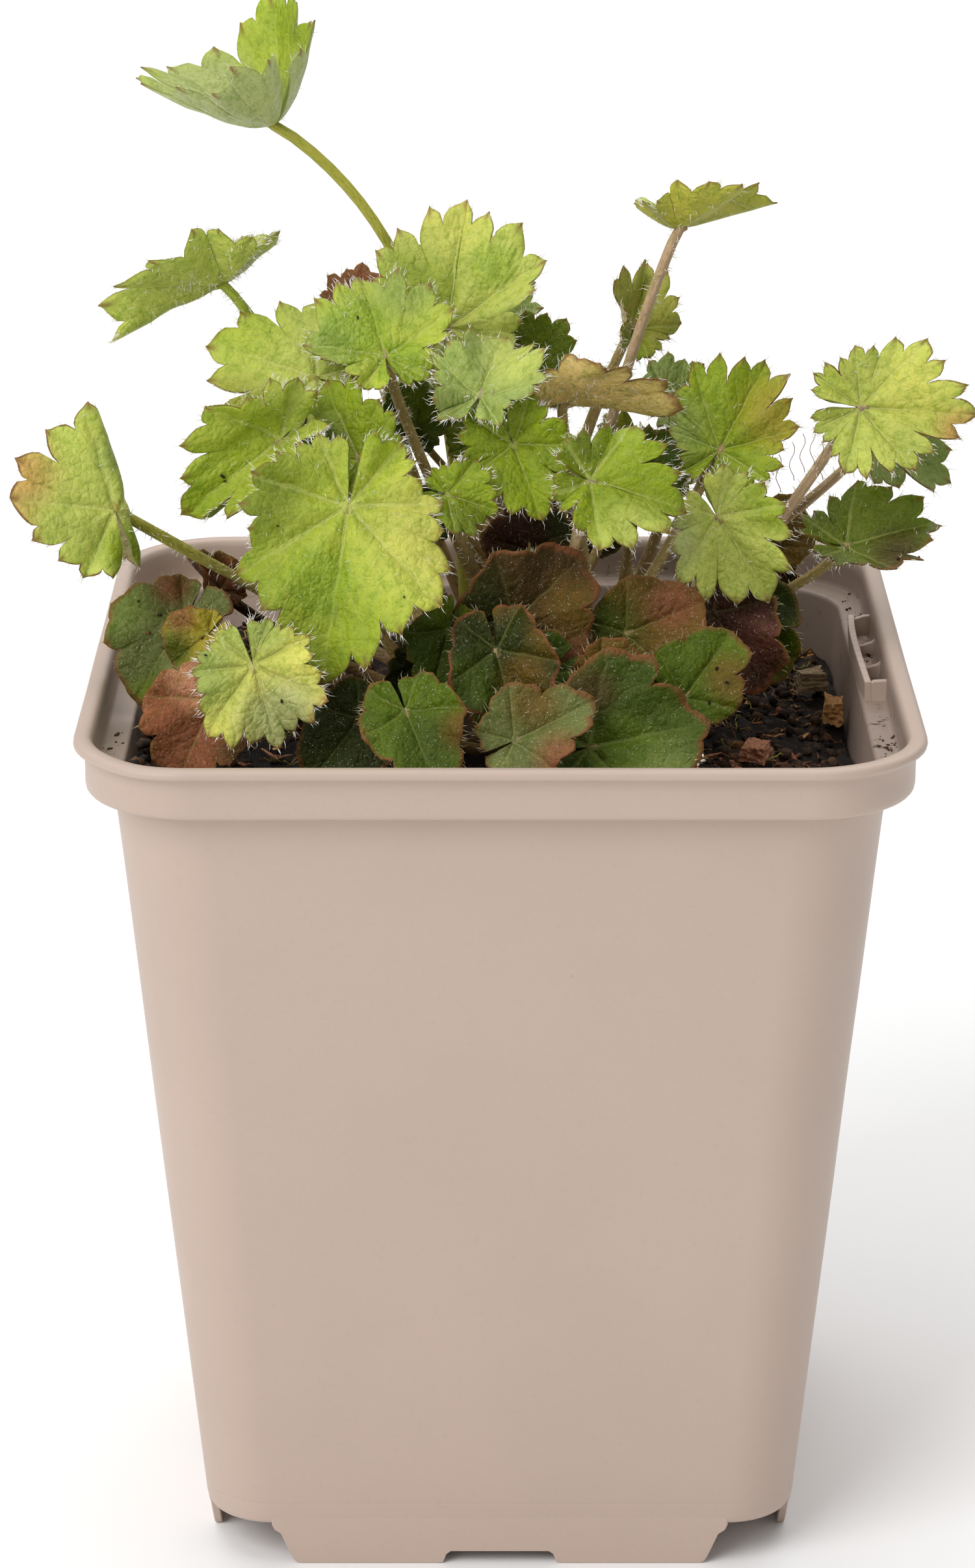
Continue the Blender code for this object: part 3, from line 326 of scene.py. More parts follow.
LOOKS = {
    "upper_leaf_01": Look("fresh", "pale", "straw", "straw", 0.12, ((3, 12, 5, "grass"), (8, 7, 4, "velvet"),
        (1, 3, 3, "sage"), (-8, 4, 6, "pale")), 0.25),
    "upper_leaf_02": Look("fresh", "lime", "stem", "fresh", 0.3, ((-9, -2, 5, "fresh"), (2, 3, 4, "lime")), 2.2),
    "upper_leaf_03": Look("lime", "olive", "stem", "straw", 0.5, ((-8, 6, 5, "fresh"), (-9, -4, 5, "olive"),
        (-13, -8, 4, "tan")), 1.6),
    "upper_leaf_04": Look("lime", "tan", "blush", "straw", 1.0, ((-11, 4, 5, "salmon"), (-12, -3, 4, "salmon"),
        (1, -4, 3, "grass"), (1, 6, 3, "velvet")), 0.8),
    "upper_leaf_05": Look("fresh", "velvet", "stem", "stem", 0.6, ((-8, -9, 5, "grass"), (0, 6, 4, "lime")), 1.8),
    "upper_leaf_06": Look("grass", "olive", "dusk", "stem", 0.5, ((-3, 3, 3, "moss"),), 1.4),
    "upper_leaf_07": Look("fresh", "olive", "stem", "stem", 0.4, ((-7, 1, 4, "velvet"), (2, 8, 4, "velvet")), 1.3,
        ((-3, 3, 4), (2, -1, 3))),
    "upper_leaf_08": Look("lime", "olive", "stem", "stem", 0.45, ((0, 14, 6, "gold"), (-4, 4, 5, "grass"),
        (9, 6, 5, "lime")), 1.0, ((5, 7, 2.5),)),
    "upper_leaf_09": Look("velvet", "sage", "stem", "blush", 0.4, ((-5, -2, 4, "sage"), (4, 5, 4, "lime")), 1.3),
    "upper_leaf_10": Look("fresh", "velvet", "stem", "stem", 0.4, ((10, -3, 8, "gold"), (-11, 2, 7, "moss"),
        (-12, -9, 6, "grass"), (0, -15, 6, "grass"), (3, 9, 4, "grass")), 1.3, ((-3, -8, 4),)),
    "upper_leaf_11": Look("gold", "sage", "dusk", "stem", 0.6, ((3, -6, 5, "pale"), (9, -6, 3, "salmon"),
        (-6, -1, 5, "velvet"), (0, 4, 4, "velvet")), 1.3),
    "upper_leaf_12": Look("grass", "moss", "dusk", "stem", 0.5, ((2, -3, 3, "moss"),), 1.5),
    "upper_leaf_13": Look("grass", "moss", "dusk", "stem", 0.5, ((1, -7, 4, "grass"),), 1.3),
    "upper_leaf_14": Look("grass", "olive", "stem", "blush", 0.6, ((5, -7, 5, "lime"), (-2, 4, 4, "moss")), 1.3),
    "upper_leaf_15": Look("lime", "olive", "stem", "stem", 0.6, ((-6, -3, 4, "pale"), (3, -9, 4, "lime"),
        (6, 2, 4, "grass")), 1.2),
    "upper_leaf_16": Look("grass", "olive", "stem", "stem", 0.7, ((7, 4, 5, "ochre"), (-6, 2, 5, "velvet")), 1.2),
    "upper_leaf_17": Look("lime", "tan", "blush", "blush", 0.8, ((-6, 3, 5, "lime"), (6, 2, 5, "gold"),
        (11, -3, 3, "salmon")), 1.2),
    "upper_leaf_18": Look("sage", "olive", "stem", "blush", 0.6, (), 1.0),
    "upper_leaf_19": Look("moss", "olive", "dusk", "stem", 0.8, ((6, -2, 4, "umber"), (-2, -5, 4, "slate")), 1.0),
    "upper_leaf_20": Look("lime", "straw", "blush", "blush", 0.5, ((-7, 5, 5, "fresh"), (6, 4, 4, "tan")), 0.6),
    "upper_leaf_21": Look("olive", "ochre", "stem", "stem", 0.7, ((0, -4, 3, "grass"),), 1.2),
    "upper_leaf_22": Look("moss", "flesh", "dusk", "stem", 0.9, ((-4, 5, 5, "lime"), (5, 3, 4, "flesh")), 1.2),
    "upper_leaf_23": Look("sage", "olive", "dusk", "stem", 0.6, (), 1.0),
    "upper_leaf_24": Look("rust", "umber", "dusk", "stem", 0.8, ((0, -3, 3, "olive"),), 1.0),
    "upper_leaf_25": Look("moss", "forest", "dusk", "stem", 0.4, (), 1.0),
    "upper_leaf_26": Look("forest", "forest", "dusk", "stem", 0.4, (), 1.0),
    "upper_leaf_27": Look("velvet", "olive", "dusk", "stem", 0.4, ((3, 10, 5, "lime"),), 1.0),
    "lower_leaf_01": Look("slate", "umber", "dusk", "umber", 0.8, ((-1.5, 4, 2.5, "rust"), (-7, 1, 3.5, "sage"),
        (-4, -9, 3, "moss")), 0.3),
    "lower_leaf_02": Look("rust", "umber", "dusk", "umber", 0.5, ((0, -1, 2.5, "rose"), (-1, 4, 2, "umber")), 0.6),
    "lower_leaf_03": Look("ochre", "rust", "dusk", "umber", 0.9, ((-3, 2, 2, "rust"), (-4, -2, 3, "forest")), 0.6),
    "lower_leaf_04": Look("rust", "umber", "dusk", "umber", 0.3, ((-2, 2, 3, "copper"), (-3, -6, 3, "rust"),
        (3, -6, 3, "umber")), 0.2),
    "lower_leaf_05": Look("shade", "umber", "dusk", "stem", 1.0, ((6, 2, 3, "bronze"), (0, 6, 3, "bronze"),
        (-3, -4, 4, "forest"), (3, -3, 3, "bronze")), 0.9),
    "lower_leaf_06": Look("umber", "umber", "dusk", "stem", 0.9, ((-5, 2, 5, "shade"), (6, -5, 4, "rust"),
        (2.5, -1.5, 2, "maroon"), (6, 1, 4, "bronze"), (-1, -5, 3, "forest")), 0.9),
    "lower_leaf_07": Look("forest", "forest", "dusk", "stem", 0.8, ((-6, -5, 4, "pine"),), 1.0),
    "lower_leaf_08": Look("pine", "umber", "dusk", "stem", 0.8, ((-6, -3, 2, "rust"), (2, -4, 4, "forest"),
        (6, -2, 2.5, "bronze")), 1.0),
    "lower_leaf_09": Look("slate", "umber", "dusk", "stem", 0.8, ((5, -2, 3, "rust"), (2, 4, 3, "bronze"),
        (-4, 0, 4, "slate")), 0.7),
    "lower_leaf_10": Look("forest", "umber", "dusk", "stem", 0.9, ((8, -4, 5, "sage"), (0, 6, 3, "umber"),
        (3, 0, 4, "pine")), 0.8),
    "lower_leaf_11": Look("bronze", "umber", "dusk", "stem", 0.7, ((-3, 0, 5, "forest"), (5, 3, 3, "rust"),
        (3, -6, 3, "ochre")), 0.7),
    "lower_leaf_12": Look("pine", "umber", "dusk", "stem", 0.7, ((5, 2, 3, "bronze"), (5, -5, 3, "bronze")), 0.8),
    "lower_leaf_13": Look("maroon", "umber", "dusk", "umber", 0.9, ((5, -3, 3, "wine"), (1, -8, 3, "wine")), 0.7),
    "lower_leaf_14": Look("shade", "umber", "dusk", "umber", 0.5, ((6, -6, 4, "pine"),), 0.9),
    "lower_leaf_15": Look("bronze", "umber", "dusk", "umber", 0.8, ((-2, -3, 3, "forest"),), 0.8),
    "lower_leaf_16": Look("shade", "umber", "dusk", "umber", 0.6, (), 0.8),
    "lower_leaf_17": Look("bronze", "umber", "dusk", "umber", 0.6, (), 0.8),
    "lower_leaf_18": Look("maroon", "umber", "dusk", "stem", 0.6, ((-3, -2, 4, "maroon"), (4, 3, 3, "shade")), 0.5),
    "back_leaf_01": Look("fresh", "olive", "stem", "stem", 0.4, (), 1.0),
    "back_leaf_02": Look("lime", "velvet", "stem", "stem", 0.4, (), 1.0),
    "back_leaf_03": Look("velvet", "olive", "stem", "stem", 0.6, (), 1.0),
    "back_leaf_04": Look("forest", "umber", "dusk", "stem", 0.7, (), 0.8),
    "back_leaf_05": Look("bronze", "umber", "dusk", "stem", 0.7, (), 0.8),
    "back_leaf_06": Look("pine", "umber", "dusk", "stem", 0.7, (), 0.8),
}

# Small shoots that fill the shade between the stalks, the bearings they leave the crown at, and their looks
SHOOTS = (
    Leaf("shoot_01", (-9.5, 4, 121.5), (-85, 20), 80, 6.5, "top", "dark", 5, 0.24, stalk=0.5),
    Leaf("shoot_02", (-3, 4.5, 119.5), (-70, 25), 60, 6.8, "top", "young", 5, 0.24, stalk=0.5),
    Leaf("shoot_03", (-13.5, 1, 116.5), (-110, 20), 110, 6.5, "top", "bronze", 5, 0.24, stalk=0.5),
    Leaf("shoot_04", (3.8, 3, 117), (-80, 15), 70, 6.5, "top", "dark", 5, 0.24, stalk=0.5),
    Leaf("shoot_05", (-5.5, -6, 114), (-90, 10), 90, 6, "top", "bronze", 5, 0.24, stalk=0.5),
    Leaf("shoot_06", (10.5, 1, 113), (-80, 15), 70, 6.5, "top", "red", 5, 0.24, stalk=0.5),
    Leaf("shoot_07", (-5.6, -20.5, 105.5), (-75, 15), -110, 8, "lower", "dark", 5, 0.2, stalk=0.6),
    Leaf("shoot_08", (-8.5, -17, 100.5), (-80, 25), -90, 7, "outer", "bronze", 5, 0.2, stalk=0.6),
)
SHOOT_BEARINGS = (0, 45, 90, 135, 180, 225, -182, -194)
SHOOT_LOOKS = {
    "dark": Look("forest", "pine", "dusk", "stem", 0.4, ((1, 3, 3, "moss"),), 0.8),
    "young": Look("moss", "pine", "dusk", "stem", 0.4, ((2, 2, 3, "grass"),), 0.8),
    "bronze": Look("shade", "umber", "dusk", "stem", 0.6, ((1, 2, 3, "forest"),), 0.8),
    "red": Look("umber", "umber", "dusk", "stem", 0.6, ((1, 3, 3, "maroon"),), 0.8),
}

# Bark chips: name, middle on the soil, length, width, height, bearing and colour
CHIPS = (
    ("bark_chip_01", (28.2, -11.0), (4.4, 3.2, 1.8), 75.0, "copper"),
    ("bark_chip_02", (37.8, 4.2), (4.6, 2.6, 2.6), 87.0, "golden"),
    ("bark_chip_03", (36.0, 16.5), (3.8, 3.2, 2.4), 20.0, "buff"),
)


def linear(code):
    """The linear colour of a six-figure colour code."""
    parts = [int(code[k:k + 2], 16) / 255 for k in (0, 2, 4)]
    return tuple(p / 12.92 if p <= 0.04045 else ((p + 0.055) / 1.055) ** 2.4 for p in parts)


def colour_setting(code, name, description):
    return bpy.props.FloatVectorProperty(name=name, description=description, subtype="COLOR", size=3,
                                         min=0.0, max=1.0, default=linear(code))


class HeucheraColours(bpy.types.PropertyGroup):
    """Colours of the plant's parts."""
    fresh: colour_setting("AEBB3E", "Fresh", "Clear green of the young leaves")
    lime: colour_setting("BEC65E", "Lime", "Pale yellow-green of the youngest leaves")
    gold: colour_setting("D0CE62", "Gold", "Yellow glow on the brightest leaf")
    grass: colour_setting("8EA016", "Grass", "Deeper green of the young leaves")
    moss: colour_setting("67760C", "Moss", "Shaded green of the young leaves")
    velvet: colour_setting("9CAC56", "Velvet", "Grey-green bloom of the grown leaves")
    sage: colour_setting("7E8C46", "Sage", "Duller grey-green of the grown leaves")
    olive: colour_setting("9C9A3A", "Olive", "Under side of the young leaves")
    ochre: colour_setting("AC9A30", "Ochre", "Yellow-brown of ageing leaves")
    pale: colour_setting("B6BC80", "Pale", "Pale under side of the topmost leaf")
    tan: colour_setting("AC9C62", "Tan", "Pinkish tan under sides")
    salmon: colour_setting("D09E60", "Salmon", "Reddened edges of young leaves")
    blush: colour_setting("CCAC8C", "Blush", "Pinkish stalks")
    straw: colour_setting("BDB84C", "Straw", "Yellow-green stalks")
    stem: colour_setting("C6AA70", "Stem", "Common stalks")
    dusk: colour_setting("A2805A", "Dusk", "Stalks near the crown")
    forest: colour_setting("465611", "Forest", "Dark green of the old leaves")
    pine: colour_setting("566A0E", "Pine", "Middle green of the old leaves")
    shade: colour_setting("30380F", "Shade", "Darkest green")
    slate: colour_setting("6E7440", "Slate", "Dusty grey-green of the old leaves")
    bronze: colour_setting("6C5018", "Bronze", "Bronze of the old leaves")
    rust: colour_setting("90563A", "Rust", "Dried brown")
    umber: colour_setting("4C3414", "Umber", "Dark brown")
    maroon: colour_setting("48261E", "Maroon", "Dark red of one low leaf")
    flesh: colour_setting("F4D48C", "Flesh", "Pinkish under side of the middle leaf")
    copper: colour_setting("EBA984", "Copper", "Reddish bark")
    golden: colour_setting("E0A868", "Golden", "Fresh golden bark")
    buff: colour_setting("CDB793", "Buff", "Dry pale bark")
    wine: colour_setting("6A3A32", "Wine", "Lighter red of one low leaf")
    rose: colour_setting("9A685C", "Rose", "Pink under side of the dried leaf")
    wood: colour_setting("A87444", "Wood", "Golden bark")
    vein: colour_setting("C6CA78", "Vein", "Main veins of the upper side")
    rim: colour_setting("7E4A2C", "Rim", "Red-brown rim and tooth tips")
    hair: colour_setting("F6F4EA", "Hair", "Hairs of the leaves and stalks")
    speck: colour_setting("2C2A12", "Speck", "Dark specks and dirt")


class HeucheraPlant(bpy.types.PropertyGroup):
    """Sizes of the leaves, stalks and hairs."""
    blade: bpy.props.FloatProperty(name="Blade Thickness", description="Thickness of the leaf blades, in millimetres",
                                   default=0.44, min=0.2, max=0.6)
    ruffle: bpy.props.FloatProperty(name="Ruffle", description="How far the rims wave, as a share of the leaf's size",
                                    default=0.034, min=0.0, max=0.06)
    detail: bpy.props.IntProperty(name="Tooth Detail", description="Points between a tooth's tip and its notch",
                                  default=6, min=3, max=10)
    hair_length: bpy.props.FloatProperty(name="Hair Length", description="Longest hairs, in millimetres",
                                         default=1.3, min=0.3, max=2.5)
    hair_width: bpy.props.FloatProperty(name="Hair Width", description="Radius at a hair's foot, in millimetres",
                                        default=0.048, min=0.01, max=0.1)
    rim_hairs: bpy.props.FloatProperty(name="Rim Hairs", description="Hairs on each millimetre of a leaf's rim",
                                       default=1.8, min=0.0, max=4.0)
    stalk_hairs: bpy.props.FloatProperty(name="Stalk Hairs", description="Hairs on each millimetre of a stalk",
                                         default=4.0, min=0.0, max=12.0)
    seed: bpy.props.IntProperty(name="Seed", description="Changes where hairs, crumbs and specks fall", default=7)


class HeucheraPot(bpy.types.PropertyGroup):
    """Finish of the pot."""
    plastic: colour_setting("BFAA9C", "Plastic", "Taupe plastic of the pot")
    dirt: colour_setting("33241A", "Dirt", "Compost specks on the pot")
    gloss: bpy.props.FloatProperty(name="Roughness", description="Roughness of the plastic", default=0.42, min=0.05,
                                   max=1.0, subtype="FACTOR")
    corner_steps: bpy.props.IntProperty(name="Corner Steps", description="Faces round each corner of the pot",
                                        default=14, min=4, max=32)


class HeucheraSoil(bpy.types.PropertyGroup):
    """Compost, crumbs and litter."""
    dark: colour_setting("1C1410", "Dark Compost", "Wet compost")
    light: colour_setting("6E5036", "Light Compost", "Drier crumbs")
    crumbs: bpy.props.IntProperty(name="Crumbs", description="Loose crumbs of compost", default=1900, min=0, max=4000)
    fibres: bpy.props.IntProperty(name="Fibres", description="Fine roots and fibres", default=230, min=0, max=800)
    shreds: bpy.props.IntProperty(name="Shreds", description="Bits of bark and leaf", default=420, min=0, max=600)


class HeucheraStage(bpy.types.PropertyGroup):
    """Floor, lights and camera."""
    floor: colour_setting("FCFCFC", "Floor", "Pale studio floor")
    key: bpy.props.FloatProperty(name="Key Light", description="Power of the soft main light", default=12.4, min=0.0,
                                 unit="POWER")
    fill: bpy.props.FloatProperty(name="Fill Light", description="Power of the light from the right", default=0.1,
                                  min=0.0, unit="POWER")
    top: bpy.props.FloatProperty(name="Top Light", description="Power of the light from above", default=6.4, min=0.0,
                                 unit="POWER")
    back: bpy.props.FloatProperty(name="Floor Light", description="Power of the light on the floor behind",
                                  default=11.0, min=0.0, unit="POWER")
    sky: bpy.props.FloatProperty(name="Surround", description="Brightness of the white surround", default=0.41,
                                 min=0.0, max=4.0)
    lens: bpy.props.FloatProperty(name="Lens", description="Focal length of the camera", default=109.63, min=20.0,
                                  unit="CAMERA")


# Materials: tints that multiply a colour, and the colours of small marks
DEEPER = (0.66, 0.76, 0.46)
BRIGHTER = (1.14, 1.11, 1.06)
GRAINED = (0.66, 0.70, 0.56)
WETTED = (0.58, 0.74, 0.30)
HAIR_FOOT = (0.72, 0.70, 0.50)
HAIR_STREAK = (0.9, 0.8, 0.65)
CRUMB_HOLLOW = (0.5, 0.47, 0.42)
BARK_GROOVE = (0.48, 0.40, 0.32)
DUST = (0.62, 0.58, 0.48)
RUSTY_FLECK = (0.35, 0.10, 0.06)
# Painted shade laid on the inner surfaces of the pot's right part
PAINTED_POT_SHADE = (0.20, 0.145, 0.12)
DRY_CRUMB = (0.16, 0.10, 0.06)
PALE_GRIT = (0.42, 0.30, 0.17)


# Shader writing

class Wire:
    """One output of a shader node. Arithmetic on it adds the nodes for that sum."""

    def __init__(self, paint, socket):
        self.paint = paint
        self.socket = socket

    def __add__(self, other):
        return self.paint.sum("ADD", self, other)

    __radd__ = __add__

    def __mul__(self, other):
        return self.paint.sum("MULTIPLY", self, other)

    __rmul__ = __mul__

    def __sub__(self, other):
        return self.paint.sum("SUBTRACT", self, other)

    def __rsub__(self, other):
        return self.paint.sum("SUBTRACT", other, self)

    def __abs__(self):
        return self.paint.sum("ABSOLUTE", self)

    def __round__(self):
        return self.paint.sum("ROUND", self)


class Paint:
    """A material being written, around its one Principled shader."""

    def __init__(self, name):
        self.material = bpy.data.materials.new(name)
        self.material.use_nodes = True
        self.tree = self.material.node_tree
        self.shader = self.tree.nodes["Principled BSDF"]

    def plug(self, socket, value):
        if isinstance(value, Wire):
            self.tree.links.new(value.socket, socket)
        elif isinstance(value, (tuple, list)) and socket.type == "RGBA":
            socket.default_value = (*value[:3], 1.0)
        else:
            socket.default_value = value

    def node(self, kind, settings, inputs, output=0):
        """A node of a type, with its settings and its sockets' values or wires."""
        made = self.tree.nodes.new(kind)
        for name, value in settings.items():
            setattr(made, name, value)
        for name, value in inputs.items():
            self.plug(made.inputs[name], value)
        return Wire(self, made.outputs[output])

    def sum(self, operation, *terms):
        return self.node("ShaderNodeMath", {"operation": operation}, dict(enumerate(terms)))

    def most(self, first, second):
        return self.sum("MAXIMUM", first, second)

    def step(self, value, low, high):
        """0 below low, 1 above high, smooth between them."""
        return self.node("ShaderNodeMapRange", {"interpolation_type": "SMOOTHSTEP"},
                         {"Value": value, "From Min": low, "From Max": high})

    def mix(self, factor, first, second, blend="MIX"):
        """A mix of two colours."""
        return self.node("ShaderNodeMix", {"data_type": "RGBA", "blend_type": blend},
                         {0: factor, 6: first, 7: second}, 2)

    def tinted(self, colour, tint):
        """A colour multiplied by a tint."""
        return self.mix(1.0, colour, tint, "MULTIPLY")

    def attribute(self, name, output="Vector"):
        return self.node("ShaderNodeAttribute", {"attribute_name": name}, {}, output)

    def parts(self, vector):
        """The three numbers of a vector."""
        made = self.node("ShaderNodeSeparateXYZ", {}, {0: vector})
        return made, Wire(self, made.socket.node.outputs[1]), Wire(self, made.socket.node.outputs[2])

    def noise(self, place, scale, detail=3.0, roughness=0.55):
        return self.node("ShaderNodeTexNoise", {}, {"Vector": place, "Scale": scale, "Detail": detail,
                                                    "Roughness": roughness}, "Fac")

    def cell_borders(self, place, scale):
        """Distance to the nearest border between cells."""
        return self.node("ShaderNodeTexVoronoi", {"feature": "DISTANCE_TO_EDGE"}, {"Vector": place, "Scale": scale},
                         "Distance")

    def dots(self, place, scale, size, share):
        """Small round dots, in a share of the cells."""
        spread = self.node("ShaderNodeTexVoronoi", {}, {"Vector": place, "Scale": scale})
        chance = self.parts(Wire(self, spread.socket.node.outputs["Color"]))[0]
        return (1 - self.step(spread, size * 0.6, size)) * self.step(chance, 1 - share, 1 - share + 0.02)

    def relief(self, height, depth, strength=0.6):
        """Feeds a height to the shader's normal. Depth is in millimetres."""
        bump = self.node("ShaderNodeBump", {}, {"Height": height, "Distance": depth * MM, "Strength": strength})
        self.plug(self.shader.inputs["Normal"], bump)

    def finish(self, **values):
        """Sets or wires the shader's own sockets. Underscores stand for spaces."""
        for name, value in values.items():
            self.plug(self.shader.inputs[name.replace("_", " ")], value)
        return self.material


class Finish(NamedTuple):
    """How a kind of leaf takes the light: how rough and shiny it is, how strong its veins and grain are, and
    how much of it has specks and dust. edge is the width of its brown rim, as a share of the blade.
    """
    rough: float
    veins: float
    grain: float
    specks: float
    dust: float
    edge: float
    shine: float


FINISHES = {
    "young": Finish(0.44, 0.40, 0.35, 0.08, 0.0, 0.02, 0.30),
    "grown": Finish(0.48, 0.36, 0.50, 0.10, 0.0, 0.02, 0.30),
    "dark": Finish(0.46, 0.12, 0.85, 0.10, 0.10, 0.06, 0.17),
    "bronze": Finish(0.50, 0.12, 0.90, 0.16, 0.12, 0.07, 0.17),
    "red": Finish(0.50, 0.10, 0.90, 0.14, 0.14, 0.05, 0.17),
    "dry": Finish(0.70, 0.20, 1.00, 0.20, 0.10, 0.03, 0.17),
}


def leaf_material(kind, colours):
    """Blade and stalk of one kind of leaf. The meshes carry where each point lies on its blade, in centimetres."""
    finish = FINISHES[kind]
    paint = Paint(f"{kind}_leaf_finish")
    flat = paint.attribute("flat")
    lobe, out, share = paint.parts(paint.attribute("veins"))
    side, rim, tip = paint.parts(paint.attribute("touch"))
    tint = paint.attribute("tint", "Color")
    wet = 1 - paint.attribute("tint", "Alpha")
    drift = paint.noise(flat, 5.0, 2.0) - 0.5
    off = lobe + drift * 0.12
    off = off - round(off)
    far = abs(off) * out
    main = 1 - paint.step(far - (1 - out) * 0.012, 0.002, 0.018)
    lane = (out - far * 1.5) * 4.6 + paint.step(off, -0.01, 0.01) * 0.45 + drift * 1.5
    lane = abs(lane - round(lane))
    branch = (1 - paint.step(lane, 0.01, 0.07)) * paint.step(far, 0.0, 0.03) * (1 - paint.step(out, 0.6, 0.95))
    nearest = paint.cell_borders(flat, 9.0)
    net = 1 - paint.step(nearest, 0.0, 0.07)
    veins = paint.most(main * (1 - out * 0.85), paint.most(branch * 0.30, net * 0.20))
    veins = veins * paint.step(share, 0.0, 0.02)
    broad = paint.noise(flat, 4.0, 3.0, 0.6)
    mottle = paint.noise(flat, 12.0, 5.0, 0.68)
    grain = paint.noise(flat, 46.0, 4.0, 0.75)
    deeper = paint.tinted(tint, DEEPER)
    colour = paint.mix(paint.step(mottle, 0.44, 0.66) * 0.9, tint, deeper)
    brighter = paint.tinted(tint, BRIGHTER)
    colour = paint.mix(paint.step(broad, 0.48, 0.68) * 0.7, colour, brighter)
    colour = paint.mix(veins * finish.veins * (0.35 + side * 0.65), colour, tuple(colours["vein"]))
    grained = paint.tinted(colour, GRAINED)
    colour = paint.mix(paint.step(grain, 0.48, 0.64) * (0.30 + 0.5 * finish.grain), colour, grained)
    pale = paint.mix(0.5, colour, tuple(colours["vein"]))
    colour = paint.mix((1 - paint.step(grain, 0.34, 0.44)) * 0.30, colour, pale)
    colour = paint.mix(paint.dots(flat, 24.0, 0.15, finish.specks) * 0.85, colour, tuple(colours["speck"]))
    if finish.dust:
        dust = paint.dots(flat, 52.0, 0.34, finish.dust) * 0.75
        colour = paint.mix(dust, colour, DUST)
    edge = paint.step(share + drift * finish.edge * 1.5, 1 - finish.edge, 1.0) * rim
    colour = paint.mix(paint.most(edge, tip * paint.step(share, 0.92, 0.99) * 0.9), colour, tuple(colours["rim"]))
    colour = paint.mix(wet * 0.6, colour, paint.tinted(colour, WETTED))
    swell = paint.step(far, 0.0, 0.07) * (0.7 + 0.3 * paint.step(lane, 0.0, 0.30))
    swell = swell + paint.step(nearest, 0.0, 0.25) * 0.25
    height = swell * 0.5 - veins * 0.25 + broad * 1.3 + mottle * 0.45 + grain * (0.10 + 0.12 * finish.grain)
    height = height + wet * paint.noise(flat, 20.0, 2.0) * 0.8
    paint.relief(height, 0.55, 0.75)
    rough = finish.rough - (broad - 0.4) * 0.5 + (grain - 0.5) * 0.3 - wet * 0.30
    return paint.finish(Base_Color=colour, Roughness=rough, Specular_IOR_Level=finish.shine,
                        Subsurface_Weight=0.30, Subsurface_Radius=(0.7, 1.0, 0.15), Subsurface_Scale=MM)


def hair_material(colours):
    """Glassy white hairs, a little darker at the foot, tan on the old leaves, with a faint painted glow."""
    paint = Paint("leaf_hair_finish")
    along = paint.attribute("along", "Fac")
    tone = paint.noise(paint.node("ShaderNodeTexCoord", {}, {}, "Object"), 900.0, 1.0)
    foot = paint.tinted(tuple(colours["hair"]), HAIR_FOOT)
    colour = paint.mix(paint.step(along, 0.0, 0.35), foot, tuple(colours["hair"]))
    colour = paint.mix(paint.step(tone, 0.55, 0.7) * 0.4, colour, paint.tinted(colour, HAIR_STREAK))
    colour = paint.mix(paint.attribute("old", "Fac"), colour, tuple(colours["tan"]))
    # The weak emission in the hairs' own colour is a painted glow that brightens them.
    return paint.finish(Base_Color=colour, Roughness=0.35 + tone * 0.15, Emission_Color=colour,
                        Emission_Strength=0.06)


def plastic_material(settings):
    """Satin moulded plastic with faint flow marks, dust and compost specks, and painted shade on the inner surfaces of
    the pot's right part, with grime patches within that shade.
    """
    paint = Paint("pot_plastic_finish")
    place = paint.node("ShaderNodeTexCoord", {}, {}, "Object")
    x, y, z = paint.parts(place)
    flow = paint.noise(place, 38.0, 3.0)
    fine = paint.noise(place, 1400.0, 2.0)
    base = tuple(settings.plastic)
    colour = paint.mix(paint.step(flow, 0.4, 0.65) * 0.5, base, tuple(c * 0.95 for c in base))
    colour = paint.mix(paint.step(fine, 0.55, 0.75) * 0.25, colour, tuple(c * 0.88 for c in base))
    colour = paint.mix(paint.dots(place, 260.0, 0.07, 0.05) * 0.75, colour, tuple(settings.dirt))
    colour = paint.mix(paint.dots(place, 150.0, 0.05, 0.03) * 0.6, colour, RUSTY_FLECK)
    inside = paint.attribute("dirt", "Fac")
    # Painted shade: inner surfaces on the pot's right part are darkened towards a deep brown, more where their dirt
    # value is higher; grime patches fall only within it.
    painted_shade = paint.step(inside, 0.1, 0.4) * paint.step(x, -0.01, 0.03)
    colour = paint.mix(painted_shade * (0.5 + flow * 0.3), colour, PAINTED_POT_SHADE)
    grime = paint.step(paint.noise(place, 520.0, 6.0, 0.65) + inside * 0.08, 0.66, 0.74) * painted_shade
    colour = paint.mix(grime * 0.8, colour, tuple(settings.dirt))
    line = 1 - paint.step(abs(z - MOULD_LINE * MM), 0.00005, 0.00022)
    rough = settings.gloss + (flow - 0.5) * 0.16 + grime * 0.35
    paint.relief(fine * 0.25 + flow * 0.6 - line * 0.5 + grime * 0.6, 0.07, 0.5)
    return paint.finish(Base_Color=colour, Roughness=rough, Specular_IOR_Level=0.45)


def compost_material(settings):
    """Dark damp compost with drier specks."""
    paint = Paint("compost_finish")
    place = paint.node("ShaderNodeTexCoord", {}, {}, "Object")
    clumps = paint.noise(place, 420.0, 6.0, 0.7)
    fine = paint.noise(place, 2600.0, 4.0, 0.7)
    colour = paint.mix(paint.step(clumps, 0.52, 0.70), tuple(settings.dark), tuple(settings.light))
    colour = paint.mix(paint.step(fine, 0.62, 0.75) * 0.7, colour, DRY_CRUMB)
    colour = paint.mix(paint.dots(place, 1100.0, 0.20, 0.05), colour, PALE_GRIT)
    paint.relief(clumps + fine * 0.5, 0.7, 0.9)
    return paint.finish(Base_Color=colour, Roughness=0.72 + clumps * 0.25, Specular_IOR_Level=0.35)


